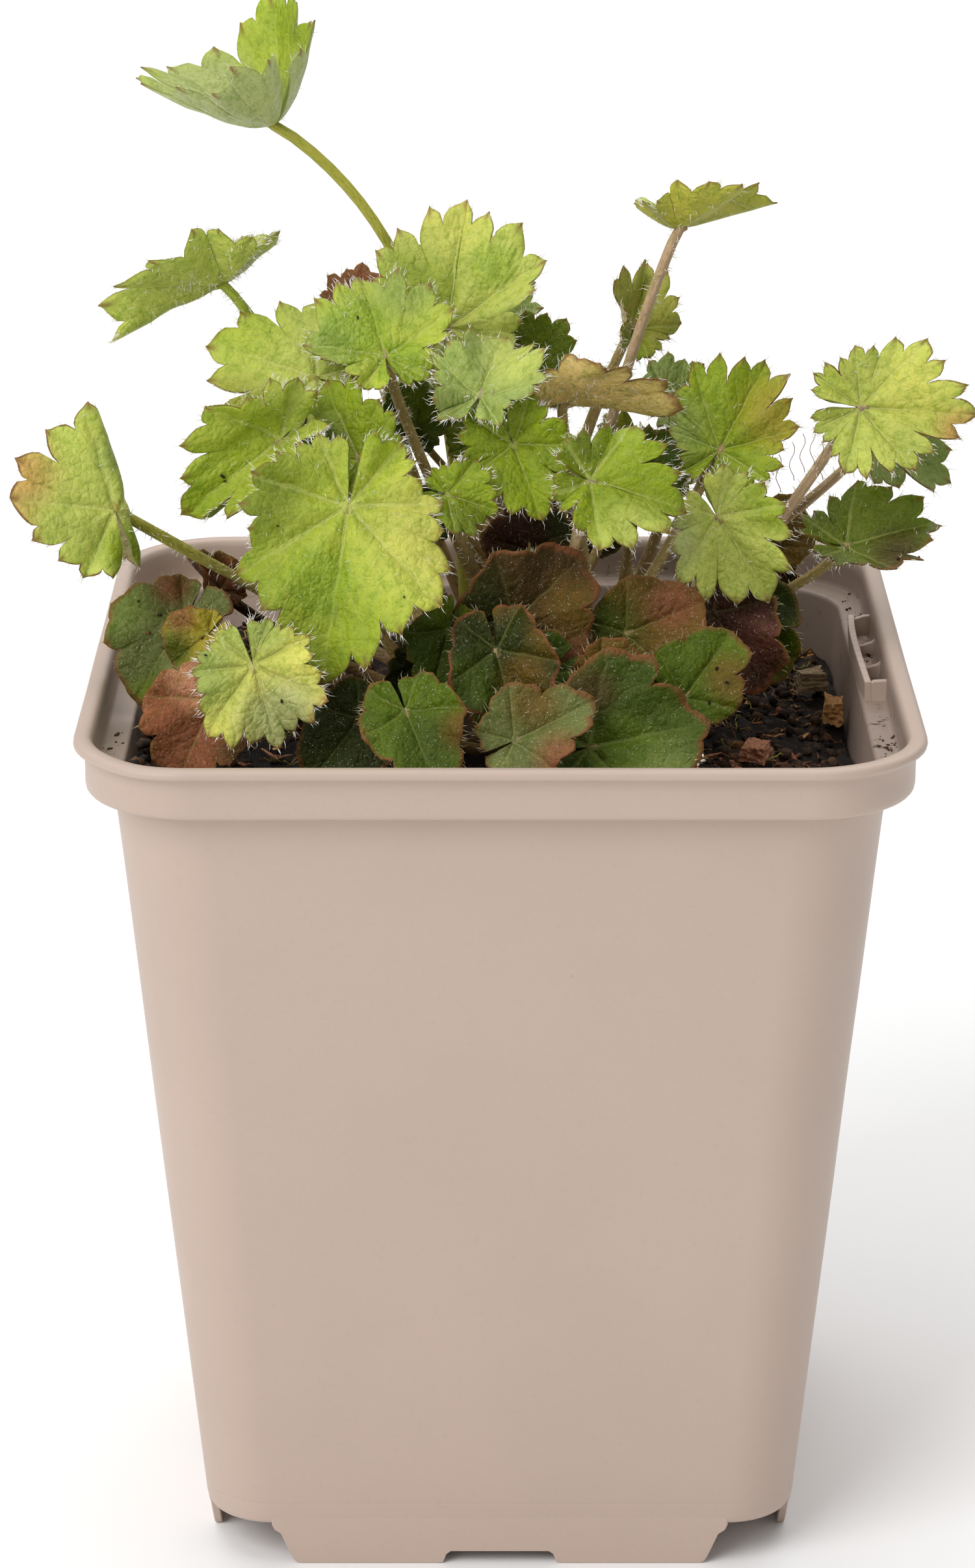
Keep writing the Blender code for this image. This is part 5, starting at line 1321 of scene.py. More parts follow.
def pot_profile():
    """Width, corner, height and dirt of each level, from the inner floor's middle over the lip and back under. The
    dirt also sets the painted shade.
    """
    floor = FLOOR_BOTTOM + WALL
    inner = body_width(floor) - 2 * WALL
    levels = [(4.0, 1.9, floor, 1.0), (inner * 0.6, 6.0, floor, 1.0), (inner - 2.0, 6.2, floor, 1.0),
              (inner - 0.6, 6.6, floor + 0.3, 1.0), (inner, 6.8, floor + 1.0, 1.0)]
    for k in range(1, 9):
        height = floor + 1 + (COLLAR_BOTTOM + WALL - 0.5 - floor - 1) * k / 8
        levels.append((body_width(height) - 2 * WALL, body_corner(height) - WALL, height, 0.5))
    ledge = COLLAR_BOTTOM + WALL
    inside = COLLAR_WIDTH - 2 * WALL
    levels += [(BODY_WIDTH_TOP - 1.7, 9.9, ledge - 0.12, 0.9), (BODY_WIDTH_TOP - 1.1, 10.1, ledge, 0.9),
               (inside - 0.7, COLLAR_CORNER - 1.3, ledge, 1.0),
               (inside - 0.15, COLLAR_CORNER - 1.05, ledge + 0.15, 0.9),
               (inside, COLLAR_CORNER - 1, ledge + 0.7, 0.6), (inside, COLLAR_CORNER - 1, 95.4, 0.4),
               (inside + 0.1, COLLAR_CORNER - 0.95, 96.7, 0.2), (inside + 0.45, COLLAR_CORNER - 0.8, 97.3, 0.1),
               (inside + 1.1, COLLAR_CORNER - 0.45, 97.55, 0.1), (inside + 2.0, 12.2, 97.6, 0.0),
               (LIP_WIDTH - 1.2, 12.4, 97.58, 0.0), (LIP_WIDTH - 0.5, 12.75, 97.45, 0.0),
               (LIP_WIDTH - 0.1, 12.95, 97.2, 0.0), (LIP_WIDTH, LIP_CORNER, 96.95, 0.0),
               (LIP_WIDTH - 0.1, 12.95, 96.7, 0.0), (LIP_WIDTH - 0.5, 12.75, 96.55, 0.0),
               (LIP_WIDTH - 1.2, 12.4, 96.5, 0.0), (COLLAR_WIDTH + 0.3, 12.3, 96.35, 0.0),
               (COLLAR_WIDTH, COLLAR_CORNER, 95.9, 0.0), (COLLAR_WIDTH - 0.02, COLLAR_CORNER, 94.0, 0.0),
               (COLLAR_WIDTH, COLLAR_CORNER, 92.6, 0.0), (COLLAR_WIDTH - 0.15, 12.1, 92.15, 0.0),
               (COLLAR_WIDTH - 0.55, 11.9, 91.88, 0.0), (COLLAR_WIDTH - 1.2, 11.6, COLLAR_BOTTOM, 0.0),
               (BODY_WIDTH_TOP + 0.7, 11.1, COLLAR_BOTTOM, 0.0), (BODY_WIDTH_TOP + 0.2, 10.9, 91.65, 0.0),
               (BODY_WIDTH_TOP - 0.1, 10.8, 91.2, 0.0)]
    for k in range(1, 12):
        height = 91.2 + (FLOOR_BOTTOM + 1.1 - 91.2) * k / 11
        levels.append((body_width(height), body_corner(height), height, 0.0))
    outer = body_width(FLOOR_BOTTOM)
    levels += [(outer - 0.12, 7.6, 5.6, 0.0), (outer - 0.5, 7.45, 5.22, 0.0), (outer - 1.2, 7.1, FLOOR_BOTTOM, 0.0),
               (outer * 0.6, 7.0, FLOOR_BOTTOM, 0.2), (4.0, 1.9, FLOOR_BOTTOM, 0.2)]
    return levels


def box_mesh(low, high):
    """Corners and faces of a box."""
    points = [(x, y, z) for z in (low[2], high[2]) for y in (low[1], high[1]) for x in (low[0], high[0])]
    return points, [(0, 2, 3, 1), (4, 5, 7, 6), (0, 1, 5, 4), (2, 6, 7, 3), (0, 4, 6, 2), (1, 3, 7, 5)]


def cut(piece, cutters):
    """Cuts shapes out of a piece, for drain holes and slots."""
    holder = bpy.data.collections.new("cutters")
    bpy.context.scene.collection.children.link(holder)
    for points, faces in cutters:
        mesh = bpy.data.meshes.new("cutter")
        mesh.from_pydata([Vector(p) * MM for p in points], [], faces)
        helper = bpy.data.objects.new("cutter", mesh)
        holder.objects.link(helper)
    boolean = piece.modifiers.new("cut", "BOOLEAN")
    boolean.operation = "DIFFERENCE"
    boolean.operand_type = "COLLECTION"
    boolean.collection = holder
    boolean.solver = "EXACT"
    bpy.context.view_layer.update()
    piece.data = bpy.data.meshes.new_from_object(piece.evaluated_get(bpy.context.evaluated_depsgraph_get()))
    piece.modifiers.clear()
    for helper in list(holder.objects):
        bpy.data.objects.remove(helper)
    bpy.data.collections.remove(holder)


def pot_shell(settings, material):
    """The moulded shell: floor, walls, ledge, collar and rounded lip, slightly uneven as moulded pots are."""
    levels = pot_profile()
    points, dirt = [], []
    # Each level's dirt value goes on its points, where it sets both the grime and the painted shade.
    for width, corner, height, grime in levels:
        ring = rounded_square(width, corner, height, settings.corner_steps)
        for x, y, z in ring:
            bow = 0.0
            if height > 20:
                bow = 0.10 * noise.noise(Vector((x, y, z)) * 0.05) * min(1, (height - 20) / 40)
            nick = 0.0
            if height > 96:
                nick = 0.18 * math.exp(-((x - NICK[0]) ** 2 + (y - NICK[1]) ** 2) / 14)
            limit = LIP_WIDTH / 2
            points.append((max(-limit, min(limit, x * (1 + bow / 45))), max(-limit, min(limit, y * (1 + bow / 45))),
                           z - nick))
            dirt.append(grime)
    count = len(points) // len(levels)
    faces = ring_faces(len(levels), count)
    faces.append(tuple(reversed(range(count))))
    last = (len(levels) - 1) * count
    faces.append(tuple(range(last, last + count)))
    faces = [tuple(reversed(face)) for face in faces]
    return add_piece("pot_shell", points, faces, material, {"dirt": dirt})


def foot_skirts(material):
    """The four slotted plates that carry the walls down to the surface, with rounded edges."""
    heap = Heap()
    count = len(SKIRT_OUTLINE)
    for side in range(4):
        turn = math.radians(90 * side)
        points = []
        for depth, inset in ((0.0, 0.12), (0.12, 0.0), (0.78, 0.0), (0.9, 0.12)):
            for across, height in SKIRT_OUTLINE:
                lifted = max(height, inset) if height < 7.9 else height
                outer = body_width(lifted) / 2 - 0.04 - depth
                x = across - math.copysign(inset, across)
                points.append((x * math.cos(turn) + outer * math.sin(turn),
                               x * math.sin(turn) - outer * math.cos(turn), lifted))
        faces = ring_faces(4, count, turned=True)
        faces.append(tuple(range(count)))
        faces.append(tuple(reversed(range(3 * count, 4 * count))))
        heap.add(points, faces, dirt=0.1)
    return heap.piece("pot_feet", material, smooth=False)


def label_plate(outline, thickness, way):
    """A thin plate from an outline of points, thickened along one way, with its edges rounded by a bevel later."""
    outline = np.array(outline, dtype=float)
    way = np.array(way, dtype=float) * thickness / 2
    points = np.concatenate((outline - way, outline + way))
    count = len(outline)
    faces = [tuple(range(count)), tuple(reversed(range(count, 2 * count)))]
    faces += [(k, k + count, (k + 1) % count + count, (k + 1) % count) for k in range(count)]
    return points, faces


def label_holder(material):
    """The holder moulded on the right wall's ledge: a bowed tab, slanted ends and two pointed fins."""
    heap = Heap()
    ledge = COLLAR_BOTTOM + WALL - 0.1
    wall = COLLAR_WIDTH / 2 - WALL + 0.2
    steps = 14
    top, base = [], []
    for k in range(steps + 1):
        t = k / steps
        y = LABEL_FRONT + (LABEL_BACK - LABEL_FRONT) * t
        x = LABEL_TAB_X + 0.25 - 0.55 * math.sin(math.pi * t)
        top.append((x, y, LABEL_TOP - 0.9 + 0.85 * math.sin(math.pi * min(1.0, t * 1.1))))
        base.append((x + 0.1, y, ledge))
    for k in range(steps):
        outline = (base[k], base[k + 1], top[k + 1], top[k])
        heap.add(*label_plate(outline, 0.75, (1, 0, 0)), dirt=0.1)
    for y, reach in ((LABEL_FRONT + 0.45, 0.9), (LABEL_BACK - 0.45, 1.6)):
        outline = ((LABEL_TAB_X - 0.1, y, ledge), (wall, y, ledge), (wall, y, LABEL_TOP - 0.8),
                   (LABEL_TAB_X + reach, y, LABEL_TOP - 0.9), (LABEL_TAB_X - 0.1, y, LABEL_TOP - 1.5))
        heap.add(*label_plate(outline, 0.8, (0, 1, 0)), dirt=0.1)
    # The fins carry a little more dirt, which also gives them a little painted shade.
    for y in LABEL_RIBS:
        outline = ((LABEL_TAB_X, y, ledge), (wall, y, ledge), (wall, y, LABEL_TOP - 1.0),
                   (wall - 0.5, y, LABEL_TOP - 1.6), (LABEL_TAB_X, y, ledge + 1.0))
        heap.add(*label_plate(outline, 0.7, (0, 1, 0)), dirt=0.2)
    piece = heap.piece("label_holder", material, smooth=False)
    bevel = piece.modifiers.new("soft edges", "BEVEL")
    bevel.width = 0.12 * MM
    bevel.segments = 2
    bevel.limit_method = "ANGLE"
    return piece


class HEUCHERA_OT_pot(bpy.types.Operator):
    """Add the pot with its lip, ledge, feet, drain holes and label holder"""
    bl_idname = "heuchera.pot"
    bl_label = "Add Pot"

    def execute(self, context):
        settings = context.scene.heuchera_pot
        material = plastic_material(settings)
        shell = pot_shell(settings, material)
        cutters = []
        corners = [(x * DRAIN_SPACING, y * DRAIN_SPACING) for x in (-1, 1) for y in (-1, 1)]
        for x, y in (*corners, (0.0, 0.0)):
            line = [(x, y, FLOOR_BOTTOM - 2), (x, y, FLOOR_BOTTOM + 3)]
            cutters.append(tube(line, (DRAIN_HOLE, DRAIN_HOLE), 20))
        for front, back in LABEL_SLOTS:
            cutters.append(box_mesh((LABEL_TAB_X + 0.9, front, COLLAR_BOTTOM - 1),
                                    (COLLAR_WIDTH / 2 - WALL - 0.3, back, COLLAR_BOTTOM + 1.15)))
        cut(shell, cutters)
        for piece in (shell, foot_skirts(material), label_holder(material)):
            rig.replaces(piece, "pot")
            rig.slot(piece, "pot_plastic")
        return {"FINISHED"}


# Compost, crown and litter

def soil_height(x, y):
    """Height of the lumpy soil, lower at the back right."""
    broad = 0.55 * math.sin(0.33 * x + 1.1) * math.sin(0.29 * y - 0.6)
    fine = 0.35 * math.sin(0.61 * x - 0.47 * y)
    return SOIL_LEVEL + broad + fine - 0.035 * x - 0.02 * y


def soil_top(x, y):
    """The soil's top with its small clods."""
    place = Vector((x, y, 0.0))
    clods = noise.fractal(place * 0.45, 0.9, 2.0, 4) * 0.9
    return soil_height(x, y) + clods - 0.3


def soil_outline(height, steps):
    """Points round the soil where it meets the pot's wall, in even turns about the middle."""
    half = body_width(height) / 2 - WALL - SOIL_GAP
    corner = body_corner(height) - WALL - SOIL_GAP
    straight = half - corner
    outline = []
    for step in range(steps):
        angle = 2 * math.pi * step / steps
        reach = half / max(abs(math.cos(angle)), abs(math.sin(angle)))
        x = reach * math.cos(angle)
        y = reach * math.sin(angle)
        over_x = abs(x) - straight
        over_y = abs(y) - straight
        if over_x > 0 and over_y > 0:
            shrink = min(1.0, corner / math.hypot(over_x, over_y))
            x = math.copysign(straight + over_x * shrink, x)
            y = math.copysign(straight + over_y * shrink, y)
        outline.append((x, y))
    return outline


def make_soil(material):
    """The compost: walls and floor within the pot, and a rough top."""
    steps, rings = 220, 60
    edge = soil_outline(SOIL_LEVEL - SOIL_EDGE_DROP, steps)
    foot = soil_outline(SOIL_BOTTOM, steps)
    points = [(x, y, SOIL_BOTTOM) for x, y in foot]
    points += [(x, y, soil_height(x, y) - SOIL_EDGE_DROP) for x, y in edge]
    for ring in range(rings):
        share = ring / rings
        for k, (x0, y0) in enumerate(edge):
            turn = 2 * math.pi * k / steps
            inner_x, inner_y = CROWN.x + 6.0 * math.cos(turn), CROWN.y + 6.0 * math.sin(turn)
            x = x0 * (1 - share) + inner_x * share
            y = y0 * (1 - share) + inner_y * share
            points.append((x, y, soil_top(x, y)))
    points.append((CROWN.x, CROWN.y, soil_top(CROWN.x, CROWN.y) - 1.0))
    faces = ring_faces(rings + 2, steps)
    last = (rings + 1) * steps
    faces += [(last + k, last + (k + 1) % steps, last + steps) for k in range(steps)]
    faces.append(tuple(reversed(range(steps))))
    return add_piece("compost_bed", points, faces, material)


LUMP_POINTS = [Vector(p).normalized() for p in
               [(0, 1, 1.618), (0, -1, 1.618), (0, 1, -1.618), (0, -1, -1.618), (1, 1.618, 0), (-1, 1.618, 0),
                (1, -1.618, 0), (-1, -1.618, 0), (1.618, 0, 1), (-1.618, 0, 1), (1.618, 0, -1), (-1.618, 0, -1)]]
LUMP_FACES = ((0, 9, 1), (0, 1, 8), (0, 8, 4), (0, 4, 5), (0, 5, 9), (9, 5, 11), (9, 11, 7), (9, 7, 1), (1, 7, 6),
              (1, 6, 8), (8, 6, 10), (8, 10, 4), (4, 10, 2), (4, 2, 5), (5, 2, 11), (3, 2, 10), (3, 10, 6), (3, 6, 7),
              (3, 7, 11), (3, 11, 2))


def add_lump(heap, at, size, colour, dice):
    """An uneven crumb about a point. Size is one number or three."""
    size = np.broadcast_to(np.array(size, dtype=float), (3,))
    turn = Matrix.Rotation(dice.uniform(0, 6.28), 3, Vector((dice.uniform(-1, 1), dice.uniform(-1, 1), 1)))
    points = []
    for corner in LUMP_POINTS:
        swell = dice.uniform(0.65, 1.25)
        moved = turn @ Vector((corner.x * size[0] * swell, corner.y * size[1] * swell, corner.z * size[2] * swell))
        points.append(Vector(at) + moved)
    heap.add(np.array([tuple(p) for p in points]), LUMP_FACES, tint=(*colour, 1.0))


def open_ground(dice, span=38.0):
    """A place on the soil, oftener where the leaves leave it open."""
    while True:
        x, y = dice.uniform(-span, span), dice.uniform(-span, span)
        open_place = x > OPEN_RIGHT or x < OPEN_LEFT or y < OPEN_FRONT
        if (open_place or dice.random() < 0.35) and math.hypot(x - CROWN.x, y - CROWN.y) > DISH_EDGE:
            return x, y


def make_crumbs(settings, colours, material, seed):
    """Loose crumbs of compost with some bark dust among them, and more banked against the left wall."""
    dice = random.Random(seed)
    dark, light = np.array(settings.dark), np.array(settings.light)
    heap = Heap()
    for _ in range(settings.crumbs):
        x, y = open_ground(dice)
        size = 0.22 + 0.75 * dice.random() ** 3
        colour = dark + (light - dark) * dice.random() ** 1.6
        chance = dice.random()
        if chance > 0.955:
            colour = np.array(colours[dice.choice(("rust", "wood", "tan", "umber"))])
        height = soil_top(x, y) + size * 0.45
        flat = dice.uniform(0.55, 1.0)
        add_lump(heap, (x, y, height), (size, size * dice.uniform(0.7, 1.2), size * flat), colour, dice)
    for _ in range(settings.crumbs // 4):
        off = 6.0 * dice.random() ** 1.5
        y = dice.uniform(*LEFT_BANK)
        size = dice.uniform(0.35, 1.1)
        x = -(body_width(88.0) / 2 - WALL - 1.1 - off)
        rise = dice.random() * max(0.0, 5.2 - off)
        colour = dark + (light - dark) * dice.random() ** 2
        add_lump(heap, (x, y, soil_height(x, y) + rise), (size, size * 0.8, size * 0.6), colour, dice)
    return heap.piece("compost_crumbs", material)


def make_fibres(settings, colours, material, seed):
    """Fine roots and fibres that lie curled on the compost."""
    dice = random.Random(seed + 1)
    heap = Heap()
    for _ in range(settings.fibres):
        x, y = open_ground(dice, 36.0)
        bearing = dice.uniform(0, 6.28)
        line = []
        for k in range(9):
            bearing += dice.uniform(-0.55, 0.55)
            x += 0.62 * math.cos(bearing)
            y += 0.62 * math.sin(bearing)
            reach = max(abs(x), abs(y))
            if reach > SOIL_REACH:
                x, y = x * SOIL_REACH / reach, y * SOIL_REACH / reach
            line.append((x, y, soil_top(x, y) + 0.35 + 0.5 * dice.random()))
        width = dice.uniform(0.05, 0.14)
        colour = colours[dice.choice(("wood", "tan", "umber", "rust", "straw", "dusk"))]
        radii = [width * (1 - 0.6 * abs(2 * k / 8 - 1)) for k in range(9)]
        heap.add(*tube(line, radii, 4), tint=(*colour, 1.0))
    return heap.piece("root_fibres", material)


def make_shreds(settings, colours, material, seed):
    """Flat splinters of bark and bits of dead leaf, pressed into the compost at all angles."""
    dice = random.Random(seed + 2)
    heap = Heap()
    for _ in range(settings.shreds):
        x, y = open_ground(dice, 36.5)
        length = 0.8 + 5.0 * dice.random() ** 2
        width = dice.uniform(0.25, 0.5 + 0.14 * length)
        bearing, tilt = dice.uniform(0, 6.28), dice.uniform(-0.5, 0.5)
        line = []
        for k in range(5):
            t = (k / 4 - 0.5) * length
            line.append((x + t * math.cos(bearing), y + t * math.sin(bearing),
                         soil_top(x, y) + 0.35 + abs(t * math.sin(tilt)) + 0.15 * math.sin(3 * k)))
        radii = [width * part * dice.uniform(0.7, 1.1) for part in (0.25, 0.5, 0.55, 0.45, 0.15)]
        colour = np.array(colours[dice.choice(("rust", "umber", "copper", "wood", "rust", "wood", "golden"))])
        points, faces = tube(line, radii, 6, squash=0.35)
        heap.add(points, faces, tint=(*(colour * dice.uniform(0.7, 1.8)), 1.0))
    return heap.piece("bark_shreds", material)


def make_crown(material):
    """The short woody crown, knobbly with old leaf scars."""
    steps, rings = 64, 30
    points = []
    for ring in range(1, rings):
        lift = math.pi / 2 * (1 - ring / rings)
        for k in range(steps):
            turn = 2 * math.pi * k / steps
            way = Vector((math.cos(turn) * math.cos(lift), math.sin(turn) * math.cos(lift), math.sin(lift)))
            knob = noise.noise(way * 4.2) * 0.5 + noise.noise(way * 11.0) * 0.25
            points.append(CROWN + way * (CROWN_RADIUS - 0.45 + knob * 0.8))
    for k in range(steps):
        turn = 2 * math.pi * k / steps
        points.append(CROWN + Vector((math.cos(turn), math.sin(turn), 0)) * CROWN_FOOT_RADIUS
                      - Vector((0, 0, CROWN_FOOT_DEPTH)))
    points.append(CROWN + Vector((0, 0, CROWN_RADIUS - 0.4)))
    faces = ring_faces(rings, steps, turned=True)
    faces += [((k + 1) % steps, len(points) - 1, k) for k in range(steps)]
    last = (rings - 1) * steps
    faces.append(tuple(last + k for k in reversed(range(steps))))
    tints = []
    for place in points:
        share = 0.5 + 0.5 * noise.noise(Vector(place) * 0.8)
        tints.append((0.09 + 0.12 * share, 0.055 + 0.07 * share, 0.03 + 0.04 * share, 1.0))
    return add_piece("fine_crown", np.array([tuple(p) for p in points]), faces, material, {"tint": tints})


def make_chip(name, middle, size, bearing, colour, material):
    """A bark chip with a splintered, layered surface."""
    length, width, height = size
    work = bmesh.new()
    bmesh.ops.create_cube(work, size=1.0)
    bmesh.ops.subdivide_edges(work, edges=work.edges, cuts=9, use_grid_fill=True)
    turn = math.radians(bearing)
    grains, lowest = [], 9.0
    for vert in work.verts:
        spot = vert.co.copy()
        skew = 0.24 * spot.x * spot.y
        along = spot.x * length * (1.0 - 0.16 * (spot.z + 0.5) + skew)
        over = spot.y * width * (1.0 - 0.16 * (spot.z + 0.5) - skew)
        up = spot.z * height * (1.0 + skew)
        rough = noise.noise(Vector((along * 0.5, over * 2.2, up * 2.2)) + Vector(middle + (0,)))
        step = noise.noise(Vector((along * 0.25, over * 0.9, up * 3.0)))
        pull = 0.90 + 0.16 * rough + 0.14 * step
        along, over, up = along * pull * (0.98 + 0.06 * rough), over * pull, up * pull
        grains.append((along, over, up))
        vert.co = Vector((middle[0] + along * math.cos(turn) - over * math.sin(turn),
                          middle[1] + along * math.sin(turn) + over * math.cos(turn), up))
        lowest = min(lowest, up - soil_height(vert.co.x, vert.co.y))
    for vert in work.verts:
        vert.co.z += 0.45 - lowest
    points = [tuple(vert.co) for vert in work.verts]
    faces = [tuple(vert.index for vert in face.verts) for face in work.faces]
    work.free()
    tints = [(*colour, 1.0)] * len(points)
    piece = add_piece(f"fine_{name}", points, faces, material, {"grain": grains, "tint": tints}, smooth=False)
    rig.replaces(piece, name)
    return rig.slot(piece, "bark")


class HEUCHERA_OT_compost(bpy.types.Operator):
    """Add the compost, its crumbs, roots and shreds, and the woody crown"""
    bl_idname = "heuchera.compost"
    bl_label = "Add Compost"

    def execute(self, context):
        settings = context.scene.heuchera_soil
        seed = context.scene.heuchera_plant.seed
        colours = palette(context.scene)
        bed = make_soil(compost_material(settings))
        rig.replaces(bed, "potting_soil")
        bits = bit_material("compost_bits_finish", 0.8)
        pieces = [bed, make_crumbs(settings, colours, bits, seed), make_fibres(settings, colours, bits, seed),
                  make_shreds(settings, colours, bits, seed)]
        for piece in pieces:
            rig.slot(piece, "compost")
        crown = make_crown(bit_material("crown_finish", 1.0))
        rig.replaces(crown, "crown")
        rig.slot(crown, "crown_wood")
        return {"FINISHED"}


class HEUCHERA_OT_chips(bpy.types.Operator):
    """Add the bark chips at the right"""
    bl_idname = "heuchera.chips"
    bl_label = "Add Bark Chips"

    def execute(self, context):
        colours = palette(context.scene)
        material = bark_material(colours)
        for name, middle, size, bearing, colour in CHIPS:
            make_chip(name, middle, size, bearing, colours[colour], material)
        return {"FINISHED"}


# Dirt of the pot: how many crumbs lie on the ledge and stick to the inner walls, how far along the ledge they
# go, and where they gather there, as the middle and the spread of each patch
LEDGE_CRUMBS = 340
WALL_CRUMBS = 60
LEDGE_REACH = 37
LEDGE_DIRT = ((-34, 2.5), (-31, 4), (-26, 5), (9, 3), (24, 6))

# A twig between the stalks
TWIG = ((19.5, -4.0, 109.6), (21.0, -3.6, 110.2), (23.2, -3.2, 110.4), (25.2, -2.8, 109.8))

# Dirt and dead bits on the leaves: leaf, across and up from its stalk's end, size, colour
SPECKS = (
    ("upper_leaf_05", (-6.2, -3.8), 0.45, "speck"), ("upper_leaf_05", (-2.0, -8.6), 0.55, "speck"),
    ("upper_leaf_05", (-2.9, -8.9), 0.35, "speck"), ("upper_leaf_05", (-1.5, -8.2), 0.3, "speck"),
    ("upper_leaf_05", (-6.0, -4.5), 0.25, "speck"), ("upper_leaf_07", (-3.0, 4.0), 0.25, "speck"),
    ("upper_leaf_10", (-7.5, -2.0), 0.2, "speck"), ("upper_leaf_10", (6.0, -10.0), 0.2, "speck"),
    ("upper_leaf_11", (3.0, -3.5), 0.28, "speck"), ("upper_leaf_11", (-5.0, 1.0), 0.22, "speck"),
    ("lower_leaf_10", (12.2, -1.5), 0.4, "hair"), ("lower_leaf_10", (12.6, -2.2), 0.35, "hair"),
    ("lower_leaf_10", (11.8, -2.5), 0.25, "hair"), ("lower_leaf_10", (12.9, -1.0), 0.22, "hair"),
    ("lower_leaf_10", (11.2, -1.2), 0.2, "hair"),
    ("lower_leaf_12", (3.5, 3.0), 0.35, "speck"), ("lower_leaf_12", (4.4, 1.5), 0.3, "speck"),
    ("lower_leaf_12", (2.6, -0.5), 0.3, "speck"), ("lower_leaf_12", (5.0, -2.0), 0.4, "speck"),
    ("lower_leaf_13", (2.0, -4.5), 0.4, "speck"), ("lower_leaf_13", (3.2, -5.4), 0.3, "speck"),
    ("lower_leaf_01", (-3.0, 0.5), 0.3, "umber"), ("lower_leaf_01", (-4.2, -1.5), 0.35, "rust"),
    ("lower_leaf_01", (-2.0, -3.0), 0.3, "umber"), ("lower_leaf_01", (-5.0, 2.0), 0.25, "speck"),
    ("upper_leaf_19", (5.5, -2.0), 0.4, "umber"), ("upper_leaf_19", (7.5, -3.0), 0.3, "umber"),
)


def leaf_specks(heap, plant, colours, dice):
    """Adds the specks on the leaves to a heap."""
    leaves = {leaf.name: leaf for leaf in LEAVES}
    blades = {name: Blade(leaves[name], plant) for name, *_ in SPECKS}
    for name, (across, up), size, colour in SPECKS:
        place, normal = blades[name].spot(across, up)
        place = place + normal * (plant.blade * 0.5 + 0.1)
        add_lump(heap, place, (size, size * 0.6, size * 0.5), colours[colour], dice)


def ledge_dirt(heap, soil, dice):
    """Adds crumbs on the pot's side ledges to a heap."""
    ledge = COLLAR_BOTTOM + WALL
    for _ in range(LEDGE_CRUMBS):
        y = dice.gauss(*dice.choice(LEDGE_DIRT))
        x = dice.uniform(40.6, 42.8) * dice.choice((1, 1, 1, -1))
        size = 0.05 + 0.26 * dice.random() ** 3
        if abs(y) < LEDGE_REACH:
            add_lump(heap, (x, y, ledge + size * 0.4), (size, size * 1.6, size * 0.6),
                     np.array(soil.light) * dice.uniform(0.4, 1.5), dice)


def wall_dirt(heap, soil, dice):
    """Adds dirt on the inner walls of the back right corner to a heap."""
    for _ in range(WALL_CRUMBS):
        y, z = dice.uniform(0, LEDGE_REACH), dice.uniform(86, 92)
        size = 0.08 + 0.3 * dice.random() ** 2
        x = body_width(z) / 2 - WALL - size * 0.3
        if dice.random() < 0.5:
            x, y = y + 2, x
        if math.hypot(max(0, x - 31), max(0, y - 31)) < 8.2:
            add_lump(heap, (x, y, z), size, np.array(soil.dark) * 1.3, dice)


def twig_and_threads(heap, colours, dice):
    """Adds the twig between the stalks and the loose threads beside it to a heap."""
    line = np.array([Vector(a).lerp(Vector(b), t) for a, b in zip(TWIG, TWIG[1:]) for t in (0, 0.33, 0.66)])
    radii = [0.32 + 0.1 * math.sin(2.1 * k) for k in range(len(line))]
    heap.add(*tube(line, radii, 7), tint=(*colours["umber"], 1.0))
    for _ in range(7):
        x, y, z = dice.uniform(30, 36), dice.uniform(2, 6), dice.uniform(118, 122)
        line = [(x + 0.3 * math.sin(k), y, z - 0.55 * k) for k in range(9)]
        heap.add(*tube(line, [0.05] * 9, 3), tint=(*colours["blush"], 1.0))


class HEUCHERA_OT_litter(bpy.types.Operator):
    """Add specks of dirt on the leaves, crumbs on the pot's ledge, a twig and loose threads"""
    bl_idname = "heuchera.litter"
    bl_label = "Add Litter"

    def execute(self, context):
        scene = context.scene
        plant, soil = scene.heuchera_plant, scene.heuchera_soil
        colours = palette(scene)
        dice = random.Random(plant.seed + 5)
        specks, bits = Heap(), Heap()
        leaf_specks(specks, plant, colours, dice)
        ledge_dirt(specks, soil, dice)
        wall_dirt(specks, soil, dice)
        twig_and_threads(bits, colours, dice)
        material = bit_material("litter_finish", 0.7)
        for heap, name in ((specks, "dirt_specks"), (bits, "twig_and_threads")):
            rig.slot(heap.piece(name, material), "compost")
        return {"FINISHED"}


# Stage

# Lights: name, place, what it looks at, size, and the setting of its power, in metres
LIGHTS = (
    ("key_light", (-0.75, -0.85, 0.95), (0, 0, 0.09), (0.9, 0.9), "key"),
    ("fill_light", (0.9, -0.5, 0.5), (0, 0, 0.09), (0.6, 0.8), "fill"),
    ("top_light", (-0.1, 0.15, 1.3), (0, 0, 0.1), (1.2, 1.2), "top"),
    ("floor_light", (0, 1.3, 1.1), (0, 1.25, 0), (2.4, 1.2), "back"),
)


def softbox(name, place, target, size, power):
    """A rectangular lamp turned towards a point."""
    light = bpy.data.lights.new(name, "AREA")
    light.shape = "RECTANGLE"
    light.size, light.size_y = size
    light.energy = power
    lamp = bpy.data.objects.new(name, light)
    lamp.location = place
    lamp.rotation_euler = (Vector(target) - Vector(place)).to_track_quat("-Z", "Y").to_euler()
    bpy.context.scene.collection.objects.link(lamp)


def floor_material(settings):
    paint = Paint("floor_finish")
    tone = paint.noise(paint.node("ShaderNodeTexCoord", {}, {}, "Object"), 3.0, 2.0)
    base = tuple(settings.floor)
    colour = paint.mix(tone * 0.3, base, tuple(c * 0.98 for c in base))
    return paint.finish(Base_Color=colour, Roughness=0.8, Specular_IOR_Level=0.2)


